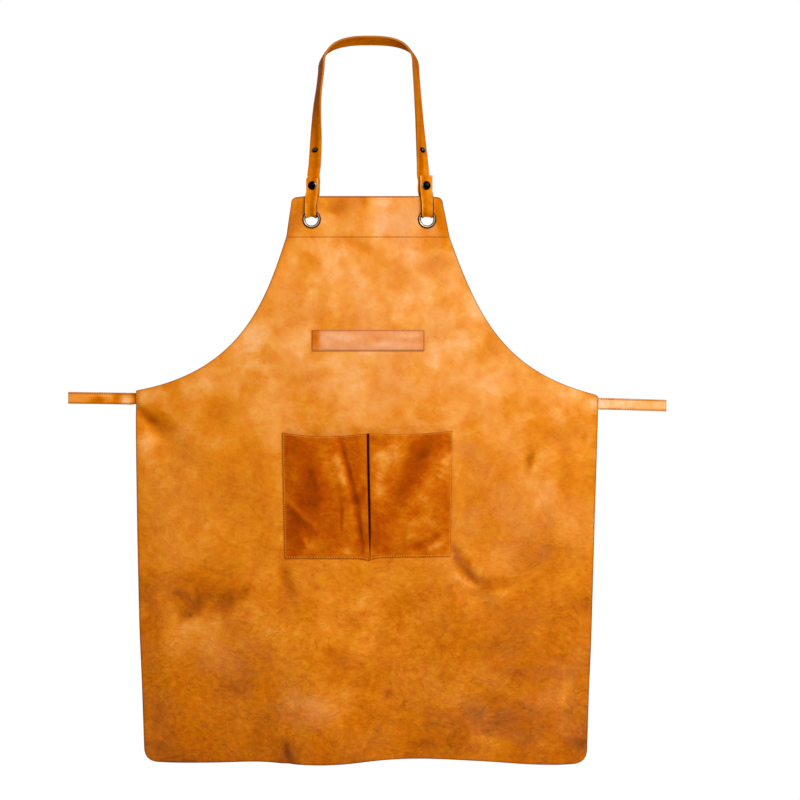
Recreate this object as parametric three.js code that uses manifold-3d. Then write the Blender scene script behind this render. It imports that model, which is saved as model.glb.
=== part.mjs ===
// A leather work apron, hanging as it is worn.
//
// Millimetres, +X to the viewer's right, +Y towards the wearer, +Z up. The pieces are laid out from
// the middle of the bib's top edge, on its front face, with a "drop" counted downwards from that edge.
// The finished group is then moved so that the origin is where the neck strap rests on the neck.

import * as THREE from 'three';
import { mergeVertices } from 'three/addons/utils/BufferGeometryUtils.js';
import Module from 'manifold-3d';

const wasm = await Module();
wasm.setup();

// Gap kept between neighbouring pieces.
const GAP = 0.3;

// Body: one hide, with its top edge folded over to the back.
const LEATHER = 1.7;
const BODY_HEIGHT = 794;
const TOP_HEM = 57;
const TOP_HEM_STEP = 0.8;
const TOP_CORNER = 8;
const HEM_CORNER = 16;
const BODY_COLUMNS = 32;
const TOP_HEM_ROWS = 4;
// Rows crowd towards the bib's rounded corners.
const TOP_HEM_CROWDING = 1.8;
// Below the top hem the side edge has three stretches: rows in each, and the middle's drop at its end.
const SKIRT_STRETCHES = [
  { name: 'armhole', rows: 14, middle: 340 },
  { name: 'side', rows: 20, middle: 778 },
  { name: 'corner', rows: 2, middle: BODY_HEIGHT },
];

// Each side edge: half widths and drops, with the two pull points of the armhole's curve.
const SIDE_EDGES = [
  { sign: -1, topHalf: 106, armholeHalf: 113, armholePull: [142.6, 139.6], waistPull: [174, 244],
    waistHalf: 327.5, waistDrop: 272, hemHalf: 313 },
  { sign: 1, topHalf: 106, armholeHalf: 115, armholePull: [159.8, 176.9], waistPull: [198, 246.3],
    waistHalf: 327, waistDrop: 279, hemHalf: 307 },
];

// The sides wrap back round the body: by how much at the waist and at the hem.
const WRAP_START = 60;
const WRAP_WAIST = 32;
const WRAP_HEM = 22;
const WAIST_DROP = 280;
const HALF_WIDTH = 325;

// Soft folds, each along a line from one [x, drop] to another. Height is towards the viewer.
const FOLDS = [
  { name: 'hem belly left', from: [-64, 600], to: [-69, 800], width: 52, height: 13, open: true },
  { name: 'hem hollow middle', from: [62, 570], to: [68, 800], width: 60, height: -14, open: true },
  { name: 'hem belly right', from: [250, 560], to: [258, 800], width: 62, height: 12, open: true },
  { name: 'hem hollow left', from: [-205, 620], to: [-216, 800], width: 58, height: -8, open: true },
  { name: 'left hem curl', from: [-312, 640], to: [-316, 800], width: 26, height: -9, open: true },
  { name: 'right hem curl', from: [308, 660], to: [310, 800], width: 24, height: -8, open: true },
  { name: 'pocket corner valley', from: [132, 528], to: [172, 586], width: 17, height: -7, open: false },
  { name: 'pocket corner ridge', from: [158, 522], to: [200, 578], width: 19, height: 5, open: false },
  { name: 'left tie dent', from: [-304, 322], to: [-262, 362], width: 20, height: -8, open: false },
  { name: 'right tie dent', from: [304, 330], to: [270, 362], width: 20, height: -5, open: false },
  { name: 'right side fold', from: [268, 360], to: [282, 520], width: 26, height: 5, open: false },
];
const FOLD_END = 0.3;

// Neck strap: two layers sewn together. It comes down behind the bib, passes through each eyelet
// to the front and is folded up, with the folded end snapped to the strap just above the bib.
const STRAP_X = 3.3;
const STRAP_WIDTH = 16.6;
const STRAP_THICK = 3;
const STRAP_COLUMNS = 4;
// The folded end: its middle, how high it ends and how far its end lifts off the run.
const TAB_HALF = 80.4;
const TAB_END_RISE = 25;
const TAB_END_LIFT = 0.3;
const TAB_END_LENGTH = 4;
// The strap lies flat this far below the snap, then opens to pass over the bib's edge.
const SNAP_FLAT = 6.6;
// The strap's section curls to fit the eyelet: shares of the tightest curl along the way.
const CURL = { overEdge: 0.15, atFlange: 0.4, turnEnds: 0.7 };
const FLANGE_SHARE = 0.55;
const FLANGE_EASE = 0.4;
const TURN_STEPS = 8;
const RUN_LEAN = THREE.MathUtils.degToRad(32);
const RUN_START_RISE = 24;
const RUN_START_HALF = 77;
const RUN_LENGTH = 200;
const RUN_STEPS = 8;
const RUN_END_HALF = 68.5;
// The run drifts from the eyelets' middle to the arch's middle.
const RUN_START_X = 2.4;
const ARCH_X = 0.2;
const ARCH_HEIGHT = 54;
const ARCH_POWER = 2.8;
const ARCH_STEPS = 12;
// The strap's face turns from the front to the outside as it rises, sooner on the right.
const STRAP_SIDES = [
  { name: 'left', sign: -1, snapRunHalf: 78, twistLength: 144, twistPower: 1.5 },
  { name: 'right', sign: 1, snapRunHalf: 76.4, twistLength: 93, twistPower: 0.7 },
];

// Eyelets: rolled rings in the doubled hem.
const EYELET_HALF = 80.9;
const EYELET_DROP = 32.6;
const EYELET_HOLE = 8.6;
const EYELET_BARREL = 9.3;
const EYELET_FLANGE = 13.1;
const EYELET_DEPTH = 2.9;
const EYELET_SIDES = 20;
// Half of a rolled eyelet's section, from the barrel round the flange and back into the hole.
const EYELET_ROLL = [
  { radius: EYELET_BARREL, depth: LEATHER + GAP },
  { radius: EYELET_FLANGE, depth: LEATHER + GAP },
  { radius: EYELET_FLANGE - 0.8, depth: EYELET_DEPTH - 0.25 },
  { radius: EYELET_FLANGE - 2.2, depth: EYELET_DEPTH },
  { radius: EYELET_HOLE + 1.2, depth: EYELET_DEPTH - 0.3 },
  { radius: EYELET_HOLE + 0.4, depth: EYELET_DEPTH - 0.9 },
  { radius: EYELET_HOLE, depth: EYELET_DEPTH - 1.7 },
];

// Snaps hold the folded ends, and spare studs sit higher on the strap.
const SNAP_HALF = 79.6;
const SNAP_RISE = 14.6;
const STUD_ALONG = 51.5;
const POST_RADIUS = 1.9;
const SNAP_CAP = { radius: 6.2, dome: 2.4, back: 4.6, backHeight: 1.2, sides: 20 };
const STUD_CAP = { radius: 4.5, dome: 2.2, back: 4.2, backHeight: 1.0, sides: 14 };
// Section of a domed cap, from its top to its underside, in shares of its radius and height.
const CAP_SECTION = [
  { out: 0, high: 1 },
  { out: 0.5, high: 0.9 },
  { out: 0.85, high: 0.6 },
  { out: 1, high: 0.2 },
  { out: 0.94, high: 0 },
];
const BACK_TAPER = 0.9;

// Ties: short sewn straps behind the waist corners.
const TIES = [
  { name: 'tie_left', sign: -1, rootDrop: 284, endDrop: 282.6, length: 97 },
  { name: 'tie_right', sign: 1, rootDrop: 290.4, endDrop: 293.6, length: 97 },
];
const TIE_WIDTH = 16.6;
const TIE_THICK = 2.4;
const TIE_OVERLAP = 13;
const TIE_COLUMNS = 9;

// Patch sewn on the bib.
const PATCH = { x: 1.7, drop: 203, width: 158, height: 29.4, thick: 1.3, columns: 10, rows: 2 };

// Pocket: one panel, pleated down its middle so that it makes two compartments.
const POCKET_LEATHER = 1.5;
const POCKET_CORNERS = {
  topLeft: [-117.9, 331.5],
  topRight: [120.3, 329],
  bottomLeft: [-114.4, 505.8],
  bottomRight: [116.3, 504.7],
};
const POCKET_MOUTH_SAG = { left: 6, right: 2.6, pleat: 3.4 };
const POCKET_STANDOFF = 10.6;
const POCKET_ROWS = 12;
const PLEAT_X = 2;
// Section across one compartment, from its sewn edge to the pleat: where, and how far it stands off.
const POCKET_SECTION = [
  { across: 0, level: 0 },
  { across: 0.03, level: 0.14 },
  { across: 0.09, level: 0.52 },
  { across: 0.17, level: 0.84 },
  { across: 0.3, level: 0.98 },
  { across: 0.45, level: 1 },
  { across: 0.6, level: 1 },
  { across: 0.75, level: 0.99 },
  { across: 0.88, level: 0.96 },
  { across: 0.95, level: 0.92 },
  { across: 0.976, level: 0.86 },
  { across: 0.986, level: 0.74 },
  { across: 0.994, level: 0.04 },
];

const bodyLeather = new THREE.MeshStandardMaterial({ color: 0xd9873a, roughness: 0.55, metalness: 0 });
const pocketLeather = new THREE.MeshStandardMaterial({ color: 0xb96a1c, roughness: 0.5, metalness: 0 });
const strapLeather = new THREE.MeshStandardMaterial({ color: 0xc4732c, roughness: 0.5, metalness: 0 });
const patchLeather = new THREE.MeshStandardMaterial({ color: 0xcf7d45, roughness: 0.4, metalness: 0 });
const eyeletMetal = new THREE.MeshStandardMaterial({ color: 0x8d8064, roughness: 0.3, metalness: 1 });
const snapMetal = new THREE.MeshStandardMaterial({ color: 0x2a2420, roughness: 0.35, metalness: 1 });

// Leaves only merged positions, which is what a closed solid needs.
function weld(geometry) {
  const bare = geometry.clone();
  bare.deleteAttribute('normal');
  bare.deleteAttribute('uv');
  return mergeVertices(bare, 1e-3);
}

function toSolid(geometry) {
  const welded = weld(geometry);
  return new wasm.Manifold(new wasm.Mesh({
    numProp: 3,
    vertProperties: new Float32Array(welded.attributes.position.array),
    triVerts: new Uint32Array(welded.index.array),
  }));
}

function toGeometry(solid) {
  const mesh = solid.getMesh();
  const geometry = new THREE.BufferGeometry();
  geometry.setAttribute('position', new THREE.BufferAttribute(mesh.vertProperties, 3));
  geometry.setIndex(new THREE.BufferAttribute(mesh.triVerts, 1));
  geometry.computeVertexNormals();
  return geometry;
}

function cutAway(geometry, cutters) {
  let solid = toSolid(geometry);
  for (const cutter of cutters) {
    solid = solid.subtract(toSolid(cutter));
  }
  return toGeometry(solid);
}

function addPiece(group, name, geometry, material) {
  const piece = new THREE.Mesh(geometry, material);
  piece.name = name;
  group.add(piece);
  return piece;
}

// A wall of leather. front(i, j) is a point on its grain face, with i across to +X and j upwards,
// and thickness(i, j) is the wall behind that point.
function leatherSheet(columns, rows, front, thickness) {
  const grid = [];
  for (let i = 0; i <= columns; i += 1) {
    grid.push([]);
    for (let j = 0; j <= rows; j += 1) {
      grid[i].push(front(i, j));
    }
  }
  const geometry = new THREE.BoxGeometry(1, 1, 1, columns, rows, 1);
  const place = geometry.attributes.position;
  const across = new THREE.Vector3();
  const upward = new THREE.Vector3();
  for (let k = 0; k < place.count; k += 1) {
    const i = Math.round((place.getX(k) + 0.5) * columns);
    const j = Math.round((place.getY(k) + 0.5) * rows);
    const point = grid[i][j].clone();
    if (place.getZ(k) < 0) {
      across.subVectors(grid[Math.min(i + 1, columns)][j], grid[Math.max(i - 1, 0)][j]);
      upward.subVectors(grid[i][Math.min(j + 1, rows)], grid[i][Math.max(j - 1, 0)]);
      point.addScaledVector(across.cross(upward).normalize(), -thickness(i, j));
    }
    place.setXYZ(k, point.x, point.y, point.z);
  }
  return weld(geometry);
}

// How far one fold stands out at a point.
function foldHeight(fold, x, drop) {
  const start = new THREE.Vector2(...fold.from);
  const line = new THREE.Vector2(...fold.to).sub(start);
  const reach = new THREE.Vector2(x, drop).sub(start);
  const along = reach.dot(line) / line.lengthSq();
  const aside = reach.cross(line) / line.length();
  const rise = THREE.MathUtils.smoothstep(along, -FOLD_END, FOLD_END);
  const fall = fold.open ? 1 : 1 - THREE.MathUtils.smoothstep(along, 1 - FOLD_END, 1 + FOLD_END);
  return fold.height * rise * fall * Math.exp(-((aside / fold.width) ** 2));
}

// Point on the body's front face.
function bodyFront(x, drop) {
  const toWaist = THREE.MathUtils.smoothstep(drop, WRAP_START, WAIST_DROP);
  const toHem = THREE.MathUtils.smoothstep(drop, WAIST_DROP, BODY_HEIGHT);
  const wrap = THREE.MathUtils.lerp(WRAP_WAIST * toWaist, WRAP_HEM, toHem);
  let back = wrap * (x / HALF_WIDTH) ** 2;
  for (const fold of FOLDS) {
    back -= foldHeight(fold, x, drop);
  }
  return new THREE.Vector3(x, back, -drop);
}

// Point at a distance in front of the body's front face, or behind it where the distance is negative.
function offBody(x, drop, distance) {
  const step = 2;
  const across = bodyFront(x + step, drop).sub(bodyFront(x - step, drop));
  const upward = bodyFront(x, drop - step).sub(bodyFront(x, drop + step));
  return bodyFront(x, drop).addScaledVector(across.cross(upward).normalize(), distance);
}

// Half width and drop along each stretch of a side edge.
function sideEdge(edge) {
  const hemLine = new THREE.Vector2(edge.armholeHalf, TOP_HEM);
  const underHem = new THREE.Vector2(edge.armholeHalf, TOP_HEM + TOP_HEM_STEP);
  const waist = new THREE.Vector2(edge.waistHalf, edge.waistDrop);
  const sideEnd = new THREE.Vector2(edge.hemHalf, BODY_HEIGHT - HEM_CORNER);
  const topHem = new THREE.CurvePath();
  topHem.add(new THREE.QuadraticBezierCurve(
    new THREE.Vector2(edge.topHalf - TOP_CORNER, 0),
    new THREE.Vector2(edge.topHalf, 0),
    new THREE.Vector2(edge.topHalf, TOP_CORNER),
  ));
  topHem.add(new THREE.LineCurve(new THREE.Vector2(edge.topHalf, TOP_CORNER), hemLine));
  const armhole = new THREE.CubicBezierCurve(
    underHem,
    new THREE.Vector2(...edge.armholePull),
    new THREE.Vector2(...edge.waistPull),
    waist,
  );
  const side = new THREE.LineCurve(waist, sideEnd);
  const corner = new THREE.QuadraticBezierCurve(
    sideEnd,
    new THREE.Vector2(edge.hemHalf, BODY_HEIGHT),
    new THREE.Vector2(edge.hemHalf - HEM_CORNER, BODY_HEIGHT),
  );
  return { topHem, armhole, side, corner };
}

// Rows from the hem up to the bib's top edge: the drop at the middle and at the two edges.
function bodyRows() {
  const edges = SIDE_EDGES.map(sideEdge);
  const rows = [];
  for (let k = 0; k <= TOP_HEM_ROWS; k += 1) {
    const along = (k / TOP_HEM_ROWS) ** TOP_HEM_CROWDING;
    rows.push({
      middle: TOP_HEM * along,
      ends: edges.map((edge) => edge.topHem.getPointAt(along)),
      thickness: 2 * LEATHER,
    });
  }
  let start = TOP_HEM + TOP_HEM_STEP;
  rows.push({
    middle: start,
    ends: edges.map((edge) => edge.armhole.getPointAt(0)),
    thickness: LEATHER,
  });
  for (const stretch of SKIRT_STRETCHES) {
    for (let k = 1; k <= stretch.rows; k += 1) {
      const along = k / stretch.rows;
      rows.push({
        middle: THREE.MathUtils.lerp(start, stretch.middle, along),
        ends: edges.map((edge) => edge[stretch.name].getPointAt(along)),
        thickness: LEATHER,
      });
    }
    start = stretch.middle;
  }
  return rows.reverse();
}

function makeBody() {
  const rows = bodyRows();
  const sheet = leatherSheet(BODY_COLUMNS, rows.length - 1, (i, j) => {
    const u = 2 * i / BODY_COLUMNS - 1;
    const side = u < 0 ? 0 : 1;
    const end = rows[j].ends[side];
    const drop = THREE.MathUtils.lerp(rows[j].middle, end.y, u * u);
    return bodyFront(u * end.x, drop);
  }, (i, j) => rows[j].thickness);
  const holes = [-1, 1].map((sign) => {
    const hole = new THREE.CylinderGeometry(
      EYELET_BARREL + GAP, EYELET_BARREL + GAP, 8 * LEATHER, EYELET_SIDES,
    );
    return hole.translate(STRAP_X + sign * EYELET_HALF, LEATHER, -EYELET_DROP);
  });
  return cutAway(sheet, holes);
}

// The section closes on itself: back roll, hole, front roll, barrel.
function makeEyelet() {
  const back = EYELET_ROLL.map(({ radius, depth }) => new THREE.Vector2(radius, depth));
  const front = EYELET_ROLL.map(({ radius, depth }) => new THREE.Vector2(radius, -depth)).reverse();
  return weld(new THREE.LatheGeometry([...back, ...front, back[0].clone()], EYELET_SIDES));
}

// One fastener: a domed cap, its post and the flange behind, round the Y axis. The leather that it
// holds reaches from "front" to "back" along that axis, with the dome on the -Y side.
function makeFastener(cap, front, back) {
  const rim = front - GAP;
  const foot = back + GAP;
  const profile = [
    ...CAP_SECTION.map(({ out, high }) => [cap.radius * out, rim - cap.dome * high]),
    [POST_RADIUS, rim],
    [POST_RADIUS, foot],
    [cap.back, foot],
    [cap.back * BACK_TAPER, foot + cap.backHeight],
    [0, foot + cap.backHeight],
  ];
  const points = profile.map(([radius, depth]) => new THREE.Vector2(radius, depth));
  return weld(new THREE.LatheGeometry(points, cap.sides));
}

// Strap's centre line on one side, from the folded end to the middle of the arch. Each station has
// a place, the direction of the strap's inner edge, and how tightly its section curls.
function strapSide({ sign, snapRunHalf, twistLength, twistPower }) {
  const inward = new THREE.Vector3(-sign, 0, 0);
  const middle = LEATHER;
  const pair = STRAP_THICK / 2 + GAP / 2;
  const turn = EYELET_DEPTH + GAP + STRAP_THICK / 2;
  const turnDrop = EYELET_DROP - (EYELET_HOLE + EYELET_FLANGE) / 2;
  const tightCurl = 1 / (EYELET_HOLE - GAP - STRAP_THICK / 2);
  const overEdge = LEATHER + GAP * 2 + STRAP_THICK / 2;
  const stations = [];
  const lay = (half, back, rise, curl, edge = inward, centre = STRAP_X) => stations.push({
    place: new THREE.Vector3(centre + sign * half, back, rise),
    edge,
    curl,
  });
  lay(TAB_HALF, middle - pair - TAB_END_LIFT, TAB_END_RISE, 0);
  lay(TAB_HALF, middle - pair, TAB_END_RISE - TAB_END_LENGTH, 0);
  lay(TAB_HALF, middle - pair, SNAP_RISE, 0);
  lay(TAB_HALF, middle - pair, SNAP_RISE - SNAP_FLAT, 0);
  lay((TAB_HALF + EYELET_HALF) / 2, middle - overEdge, 0, CURL.overEdge * tightCurl);
  lay(EYELET_HALF, middle - turn + FLANGE_EASE, -turnDrop * FLANGE_SHARE, CURL.atFlange * tightCurl);
  for (let k = 0; k <= TURN_STEPS; k += 1) {
    const angle = Math.PI * k / TURN_STEPS;
    const curl = tightCurl * THREE.MathUtils.lerp(CURL.turnEnds, 1, Math.sin(angle));
    lay(EYELET_HALF, middle - turn * Math.cos(angle), -turnDrop - turn * Math.sin(angle), curl);
  }
  lay(EYELET_HALF, middle + turn - FLANGE_EASE, -turnDrop * FLANGE_SHARE, CURL.atFlange * tightCurl);
  lay((EYELET_HALF + snapRunHalf) / 2, middle + overEdge, 0, CURL.overEdge * tightCurl);
  lay(snapRunHalf, middle + pair, SNAP_RISE - SNAP_FLAT, 0);
  lay(snapRunHalf, middle + pair, SNAP_RISE, 0);
  lay((snapRunHalf + RUN_START_HALF) / 2, middle + pair, SNAP_RISE + SNAP_FLAT, 0);

  const upPlane = new THREE.Vector3(0, Math.sin(RUN_LEAN), Math.cos(RUN_LEAN));
  const nearer = new THREE.Vector3(0, -Math.cos(RUN_LEAN), Math.sin(RUN_LEAN));
  const climb = (half, along) => {
    const twist = (Math.PI / 2) * (1 - Math.exp(-((along / twistLength) ** twistPower)));
    const edge = inward.clone().multiplyScalar(Math.cos(twist)).addScaledVector(nearer, Math.sin(twist));
    const centre = THREE.MathUtils.lerp(RUN_START_X, ARCH_X, along / (RUN_LENGTH + ARCH_HEIGHT));
    const back = middle + pair + along * upPlane.y;
    lay(half, back, RUN_START_RISE + along * upPlane.z, 0, edge, centre);
  };
  for (let k = 0; k < RUN_STEPS; k += 1) {
    const share = k / RUN_STEPS;
    climb(THREE.MathUtils.lerp(RUN_START_HALF, RUN_END_HALF, share), RUN_LENGTH * share);
  }
  for (let k = 0; k <= ARCH_STEPS; k += 1) {
    const angle = (Math.PI / 2) * k / ARCH_STEPS;
    const half = RUN_END_HALF * Math.cos(angle) ** (2 / ARCH_POWER);
    const height = ARCH_HEIGHT * Math.sin(angle) ** (2 / ARCH_POWER);
    climb(k === ARCH_STEPS ? 0 : half, RUN_LENGTH + height);
  }
  return stations;
}

// Both sides joined in one run of stations, each with the strap's own directions added.
function strapStations() {
  const [left, right] = STRAP_SIDES.map(strapSide);
  const stations = [...left, ...right.slice(0, -1).reverse()];
  stations.forEach((station, k) => {
    const before = stations[Math.max(k - 1, 0)].place;
    const after = stations[Math.min(k + 1, stations.length - 1)].place;
    station.along = after.clone().sub(before).normalize();
    station.width = station.edge.clone().projectOnPlane(station.along).normalize();
    station.face = station.width.clone().cross(station.along);
  });
  return stations;
}

function makeStrap(stations, cutters) {
  const sheet = leatherSheet(STRAP_COLUMNS, stations.length - 1, (i, j) => {
    const { place, width, face, curl } = stations[j];
    const aside = STRAP_WIDTH * (i / STRAP_COLUMNS - 0.5);
    const across = curl > 0 ? Math.sin(curl * aside) / curl : aside;
    const sink = curl > 0 ? (1 - Math.cos(curl * aside)) / curl : 0;
    const tilt = curl * aside;
    const outward = face.clone().multiplyScalar(Math.cos(tilt)).addScaledVector(width, Math.sin(tilt));
    const point = place.clone().addScaledVector(width, across).addScaledVector(face, -sink);
    return point.addScaledVector(outward, STRAP_THICK / 2);
  }, () => STRAP_THICK);
  return cutAway(sheet, cutters);
}

// Where a piece of hardware sits on the strap: its Y axis looks into the strap's face.
function seatOnStrap(station) {
  const inward = station.face.clone().negate();
  const basis = new THREE.Matrix4().makeBasis(station.width, inward, station.width.clone().cross(inward));
  return basis.setPosition(station.place);
}

// The station of the strap's run that carries a stud.
function studStation(stations, sign) {
  const rise = RUN_START_RISE + STUD_ALONG * Math.cos(RUN_LEAN);
  const away = (station) => Math.abs(station.place.z - rise);
  const run = stations.filter((station) => Math.sign(station.place.x - STRAP_X) === sign);
  return run.reduce((best, station) => (away(station) < away(best) ? station : best));
}

function makePatch() {
  const { x, drop, width, height, thick, columns, rows } = PATCH;
  return leatherSheet(columns, rows, (i, j) => offBody(
    x + width * (i / columns - 0.5),
    drop - height * (j / rows - 0.5),
    GAP + thick,
  ), () => thick);
}

function makeTie(tie) {
  const edge = SIDE_EDGES.find((side) => side.sign === tie.sign);
  const total = TIE_OVERLAP + tie.length;
  return leatherSheet(TIE_COLUMNS, 1, (i, j) => {
    const share = tie.sign > 0 ? i / TIE_COLUMNS : 1 - i / TIE_COLUMNS;
    const reach = share * total - TIE_OVERLAP;
    const middle = THREE.MathUtils.lerp(tie.rootDrop, tie.endDrop, share);
    const drop = middle - TIE_WIDTH * (j - 0.5);
    return offBody(tie.sign * (edge.waistHalf + reach), drop, -LEATHER - GAP);
  }, () => TIE_THICK);
}

// Columns across the whole pocket: the left compartment, the bottom of the pleat, the right one.
function pocketColumns() {
  const left = POCKET_SECTION.map(({ across, level }) => ({ side: 'left', across, level }));
  const right = POCKET_SECTION.map(({ across, level }) => ({ side: 'right', across, level })).reverse();
  return [...left, { side: 'left', across: 1, level: 0 }, ...right];
}

function makePocket() {
  const columns = pocketColumns();
  const corner = POCKET_CORNERS;
  return leatherSheet(columns.length - 1, POCKET_ROWS, (i, j) => {
    const { side, across, level } = columns[i];
    const up = j / POCKET_ROWS;
    const bottom = side === 'left' ? corner.bottomLeft : corner.bottomRight;
    const top = side === 'left' ? corner.topLeft : corner.topRight;
    const sewn = THREE.MathUtils.lerp(bottom[0], top[0], up);
    const x = THREE.MathUtils.lerp(sewn, PLEAT_X, across);
    const share = (x - corner.bottomLeft[0]) / (corner.bottomRight[0] - corner.bottomLeft[0]);
    const foot = THREE.MathUtils.lerp(corner.bottomLeft[1], corner.bottomRight[1], share);
    const mouth = THREE.MathUtils.lerp(corner.topLeft[1], corner.topRight[1], share);
    const hang = POCKET_MOUTH_SAG[side] * Math.sin(Math.PI * across);
    const sag = hang + POCKET_MOUTH_SAG.pleat * across;
    const opened = 1 - (1 - up) ** 3;
    const flat = POCKET_LEATHER + GAP;
    const distance = flat + (POCKET_STANDOFF - flat) * level * opened;
    return offBody(x, THREE.MathUtils.lerp(foot, mouth + sag, up), distance);
  }, () => POCKET_LEATHER);
}

const hung = new THREE.Group();
const stations = strapStations();

addPiece(hung, 'apron_body', makeBody(), bodyLeather);
addPiece(hung, 'pocket', makePocket(), pocketLeather);
addPiece(hung, 'bib_patch', makePatch(), patchLeather);
for (const tie of TIES) {
  addPiece(hung, tie.name, makeTie(tie), strapLeather);
}

const strapHoles = [];
for (const { name, sign } of STRAP_SIDES) {
  const eyelet = addPiece(hung, `eyelet_${name}`, makeEyelet(), eyeletMetal);
  eyelet.position.set(STRAP_X + sign * EYELET_HALF, LEATHER, -EYELET_DROP);

  const pairHalf = STRAP_THICK + GAP / 2;
  const snap = addPiece(hung, `snap_${name}`, makeFastener(SNAP_CAP, -pairHalf, pairHalf), snapMetal);
  snap.position.set(STRAP_X + sign * SNAP_HALF, LEATHER, SNAP_RISE);

  const strapHalf = STRAP_THICK / 2;
  const stud = addPiece(hung, `stud_${name}`, makeFastener(STUD_CAP, -strapHalf, strapHalf), snapMetal);
  stud.applyMatrix4(seatOnStrap(studStation(stations, sign)));

  for (const piece of [snap, stud]) {
    piece.updateMatrix();
    const hole = new THREE.CylinderGeometry(POST_RADIUS + GAP, POST_RADIUS + GAP, 6 * STRAP_THICK, 12);
    strapHoles.push(hole.applyMatrix4(piece.matrix));
  }
}
addPiece(hung, 'neck_strap', makeStrap(stations, strapHoles), strapLeather);

// The neck carries the inner face of the strap at the middle of its arch.
const top = stations[(stations.length - 1) / 2];
const neckRest = top.place.clone().addScaledVector(top.face, -STRAP_THICK / 2);
hung.position.copy(neckRest).negate();

const apron = new THREE.Group();
apron.name = 'leather_apron';
apron.add(hung);

export default apron;
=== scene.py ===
"""Looks of a leather work apron: waxed leather, seams, thread and antique fittings on the fixed frame.

Lengths are millimetres until a piece is placed. A point is (x, back, rise), counted from the middle of the
bib's top edge on its front face; "drop" is counted downwards from that edge.
"""

import math
from collections import namedtuple

import bpy
import numpy as np
from mathutils import Matrix, Vector, noise


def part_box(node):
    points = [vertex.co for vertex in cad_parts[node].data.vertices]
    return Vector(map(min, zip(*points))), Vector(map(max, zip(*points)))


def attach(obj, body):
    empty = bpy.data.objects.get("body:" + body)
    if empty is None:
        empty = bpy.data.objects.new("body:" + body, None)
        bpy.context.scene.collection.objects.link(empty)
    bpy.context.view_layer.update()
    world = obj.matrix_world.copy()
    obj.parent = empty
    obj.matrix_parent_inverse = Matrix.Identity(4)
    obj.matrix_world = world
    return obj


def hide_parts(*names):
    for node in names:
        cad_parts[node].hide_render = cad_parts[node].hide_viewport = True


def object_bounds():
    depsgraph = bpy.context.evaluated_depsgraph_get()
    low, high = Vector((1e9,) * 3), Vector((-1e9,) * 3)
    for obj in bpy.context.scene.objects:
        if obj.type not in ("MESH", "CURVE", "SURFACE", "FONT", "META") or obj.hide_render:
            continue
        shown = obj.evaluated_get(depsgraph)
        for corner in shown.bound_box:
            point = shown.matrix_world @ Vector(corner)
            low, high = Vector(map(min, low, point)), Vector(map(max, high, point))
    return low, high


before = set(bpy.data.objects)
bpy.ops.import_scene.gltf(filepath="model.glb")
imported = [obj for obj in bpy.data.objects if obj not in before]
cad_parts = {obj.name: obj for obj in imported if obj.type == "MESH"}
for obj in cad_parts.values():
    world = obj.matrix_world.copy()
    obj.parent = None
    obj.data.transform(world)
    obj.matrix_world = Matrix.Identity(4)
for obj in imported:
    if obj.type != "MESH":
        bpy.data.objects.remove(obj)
cad_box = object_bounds()

MM = 0.001
GAP = 0.3
# A seam is laid out a hair off the leather, so that its direction is known.
ON_FACE = 0.01

# Body: one hide, with its top edge folded over to the back.
LEATHER = 1.7
BODY_HEIGHT = 794
TOP_HEM = 57
TOP_CORNER = 8
HEM_CORNER = 20
BODY_CELL = 3.5
BODY_COLUMNS = 178
# Rows and columns crowd towards a cut edge and a seam.
EDGE_INSETS = (0, 0.8, 1.8, 3.6)
BODY_ROUNDING = 0.5
# A cut edge is burnished: how far in that reaches, and how dark it is. A seam is a little dark too.
Burnish = namedtuple("Burnish", "width dark")
BODY_BURNISH = Burnish(1.3, 0.8)
SEAM_DARK = 0.3
# Points along each stretch of an edge, and steps on each side of a rounded corner.
EDGE_POINTS = 120
CORNER_STEPS = 6
HEM_SEAM_DROP = 57.4
HEM_SEAM_SIDE = (0.5, 1.1, 1.9, 3.2)
TOP_SEAM_DROP = 1.7
TOP_SEAM_HALF = 66

SideEdge = namedtuple("SideEdge", (
    "top_half armhole_half armhole_pull waist_pull waist_half waist_drop waist_round side_bow hem_half"))
LEFT_EDGE = SideEdge(106, 113, (140.4, 140.4), (172.7, 246), 327.5, 272, 2, 4.8, 315.4)
RIGHT_EDGE = SideEdge(106, 115.6, (158, 177.7), (197, 248), 327, 279, 6, 0.8, 310)
SIDE_BOW_SHARE = 0.4
# The hem is cut a little unevenly, and the bib's top droops towards its corners.
HEM_WAVE_X = (-335, -220, -143, -100, -38, 25, 95, 165, 214, 300, 335)
HEM_WAVE = (1.7, 2.2, -1.0, 1.0, 1.1, -3.0, -3.8, -1.6, 1.4, 3.2, 3.2)
HEM_WAVE_START = 690
TOP_DROOP = 2
TOP_DROOP_FROM = 82
TOP_DROOP_DEPTH = 30

# The sides wrap back round the body.
WRAP_START = 60
WRAP_WAIST = 32
WRAP_HEM = 22
WAIST_DROP = 280
SIDE_START = 340
HALF_WIDTH = 325

Fold = namedtuple("Fold", "name start end width height open", defaults=(False,))
FOLDS = (
    Fold("hem belly left", (-64, 600), (-69, 800), 52, 13, True),
    Fold("hem hollow middle", (62, 570), (68, 800), 60, -14, True),
    Fold("hem belly right", (250, 560), (258, 800), 62, 12, True),
    Fold("hem hollow left", (-205, 620), (-216, 800), 58, -8, True),
    Fold("left hem curl", (-312, 640), (-316, 800), 26, -9, True),
    Fold("right hem curl", (308, 660), (310, 800), 24, -8, True),
    Fold("pocket corner valley", (132, 528), (172, 586), 17, -7),
    Fold("pocket corner ridge", (158, 522), (200, 578), 19, 5),
    Fold("left tie dent", (-304, 322), (-262, 362), 20, -8),
    Fold("right tie dent", (304, 330), (270, 362), 20, -5),
    Fold("right side fold", (268, 360), (282, 520), 26, 5),
)
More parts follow.
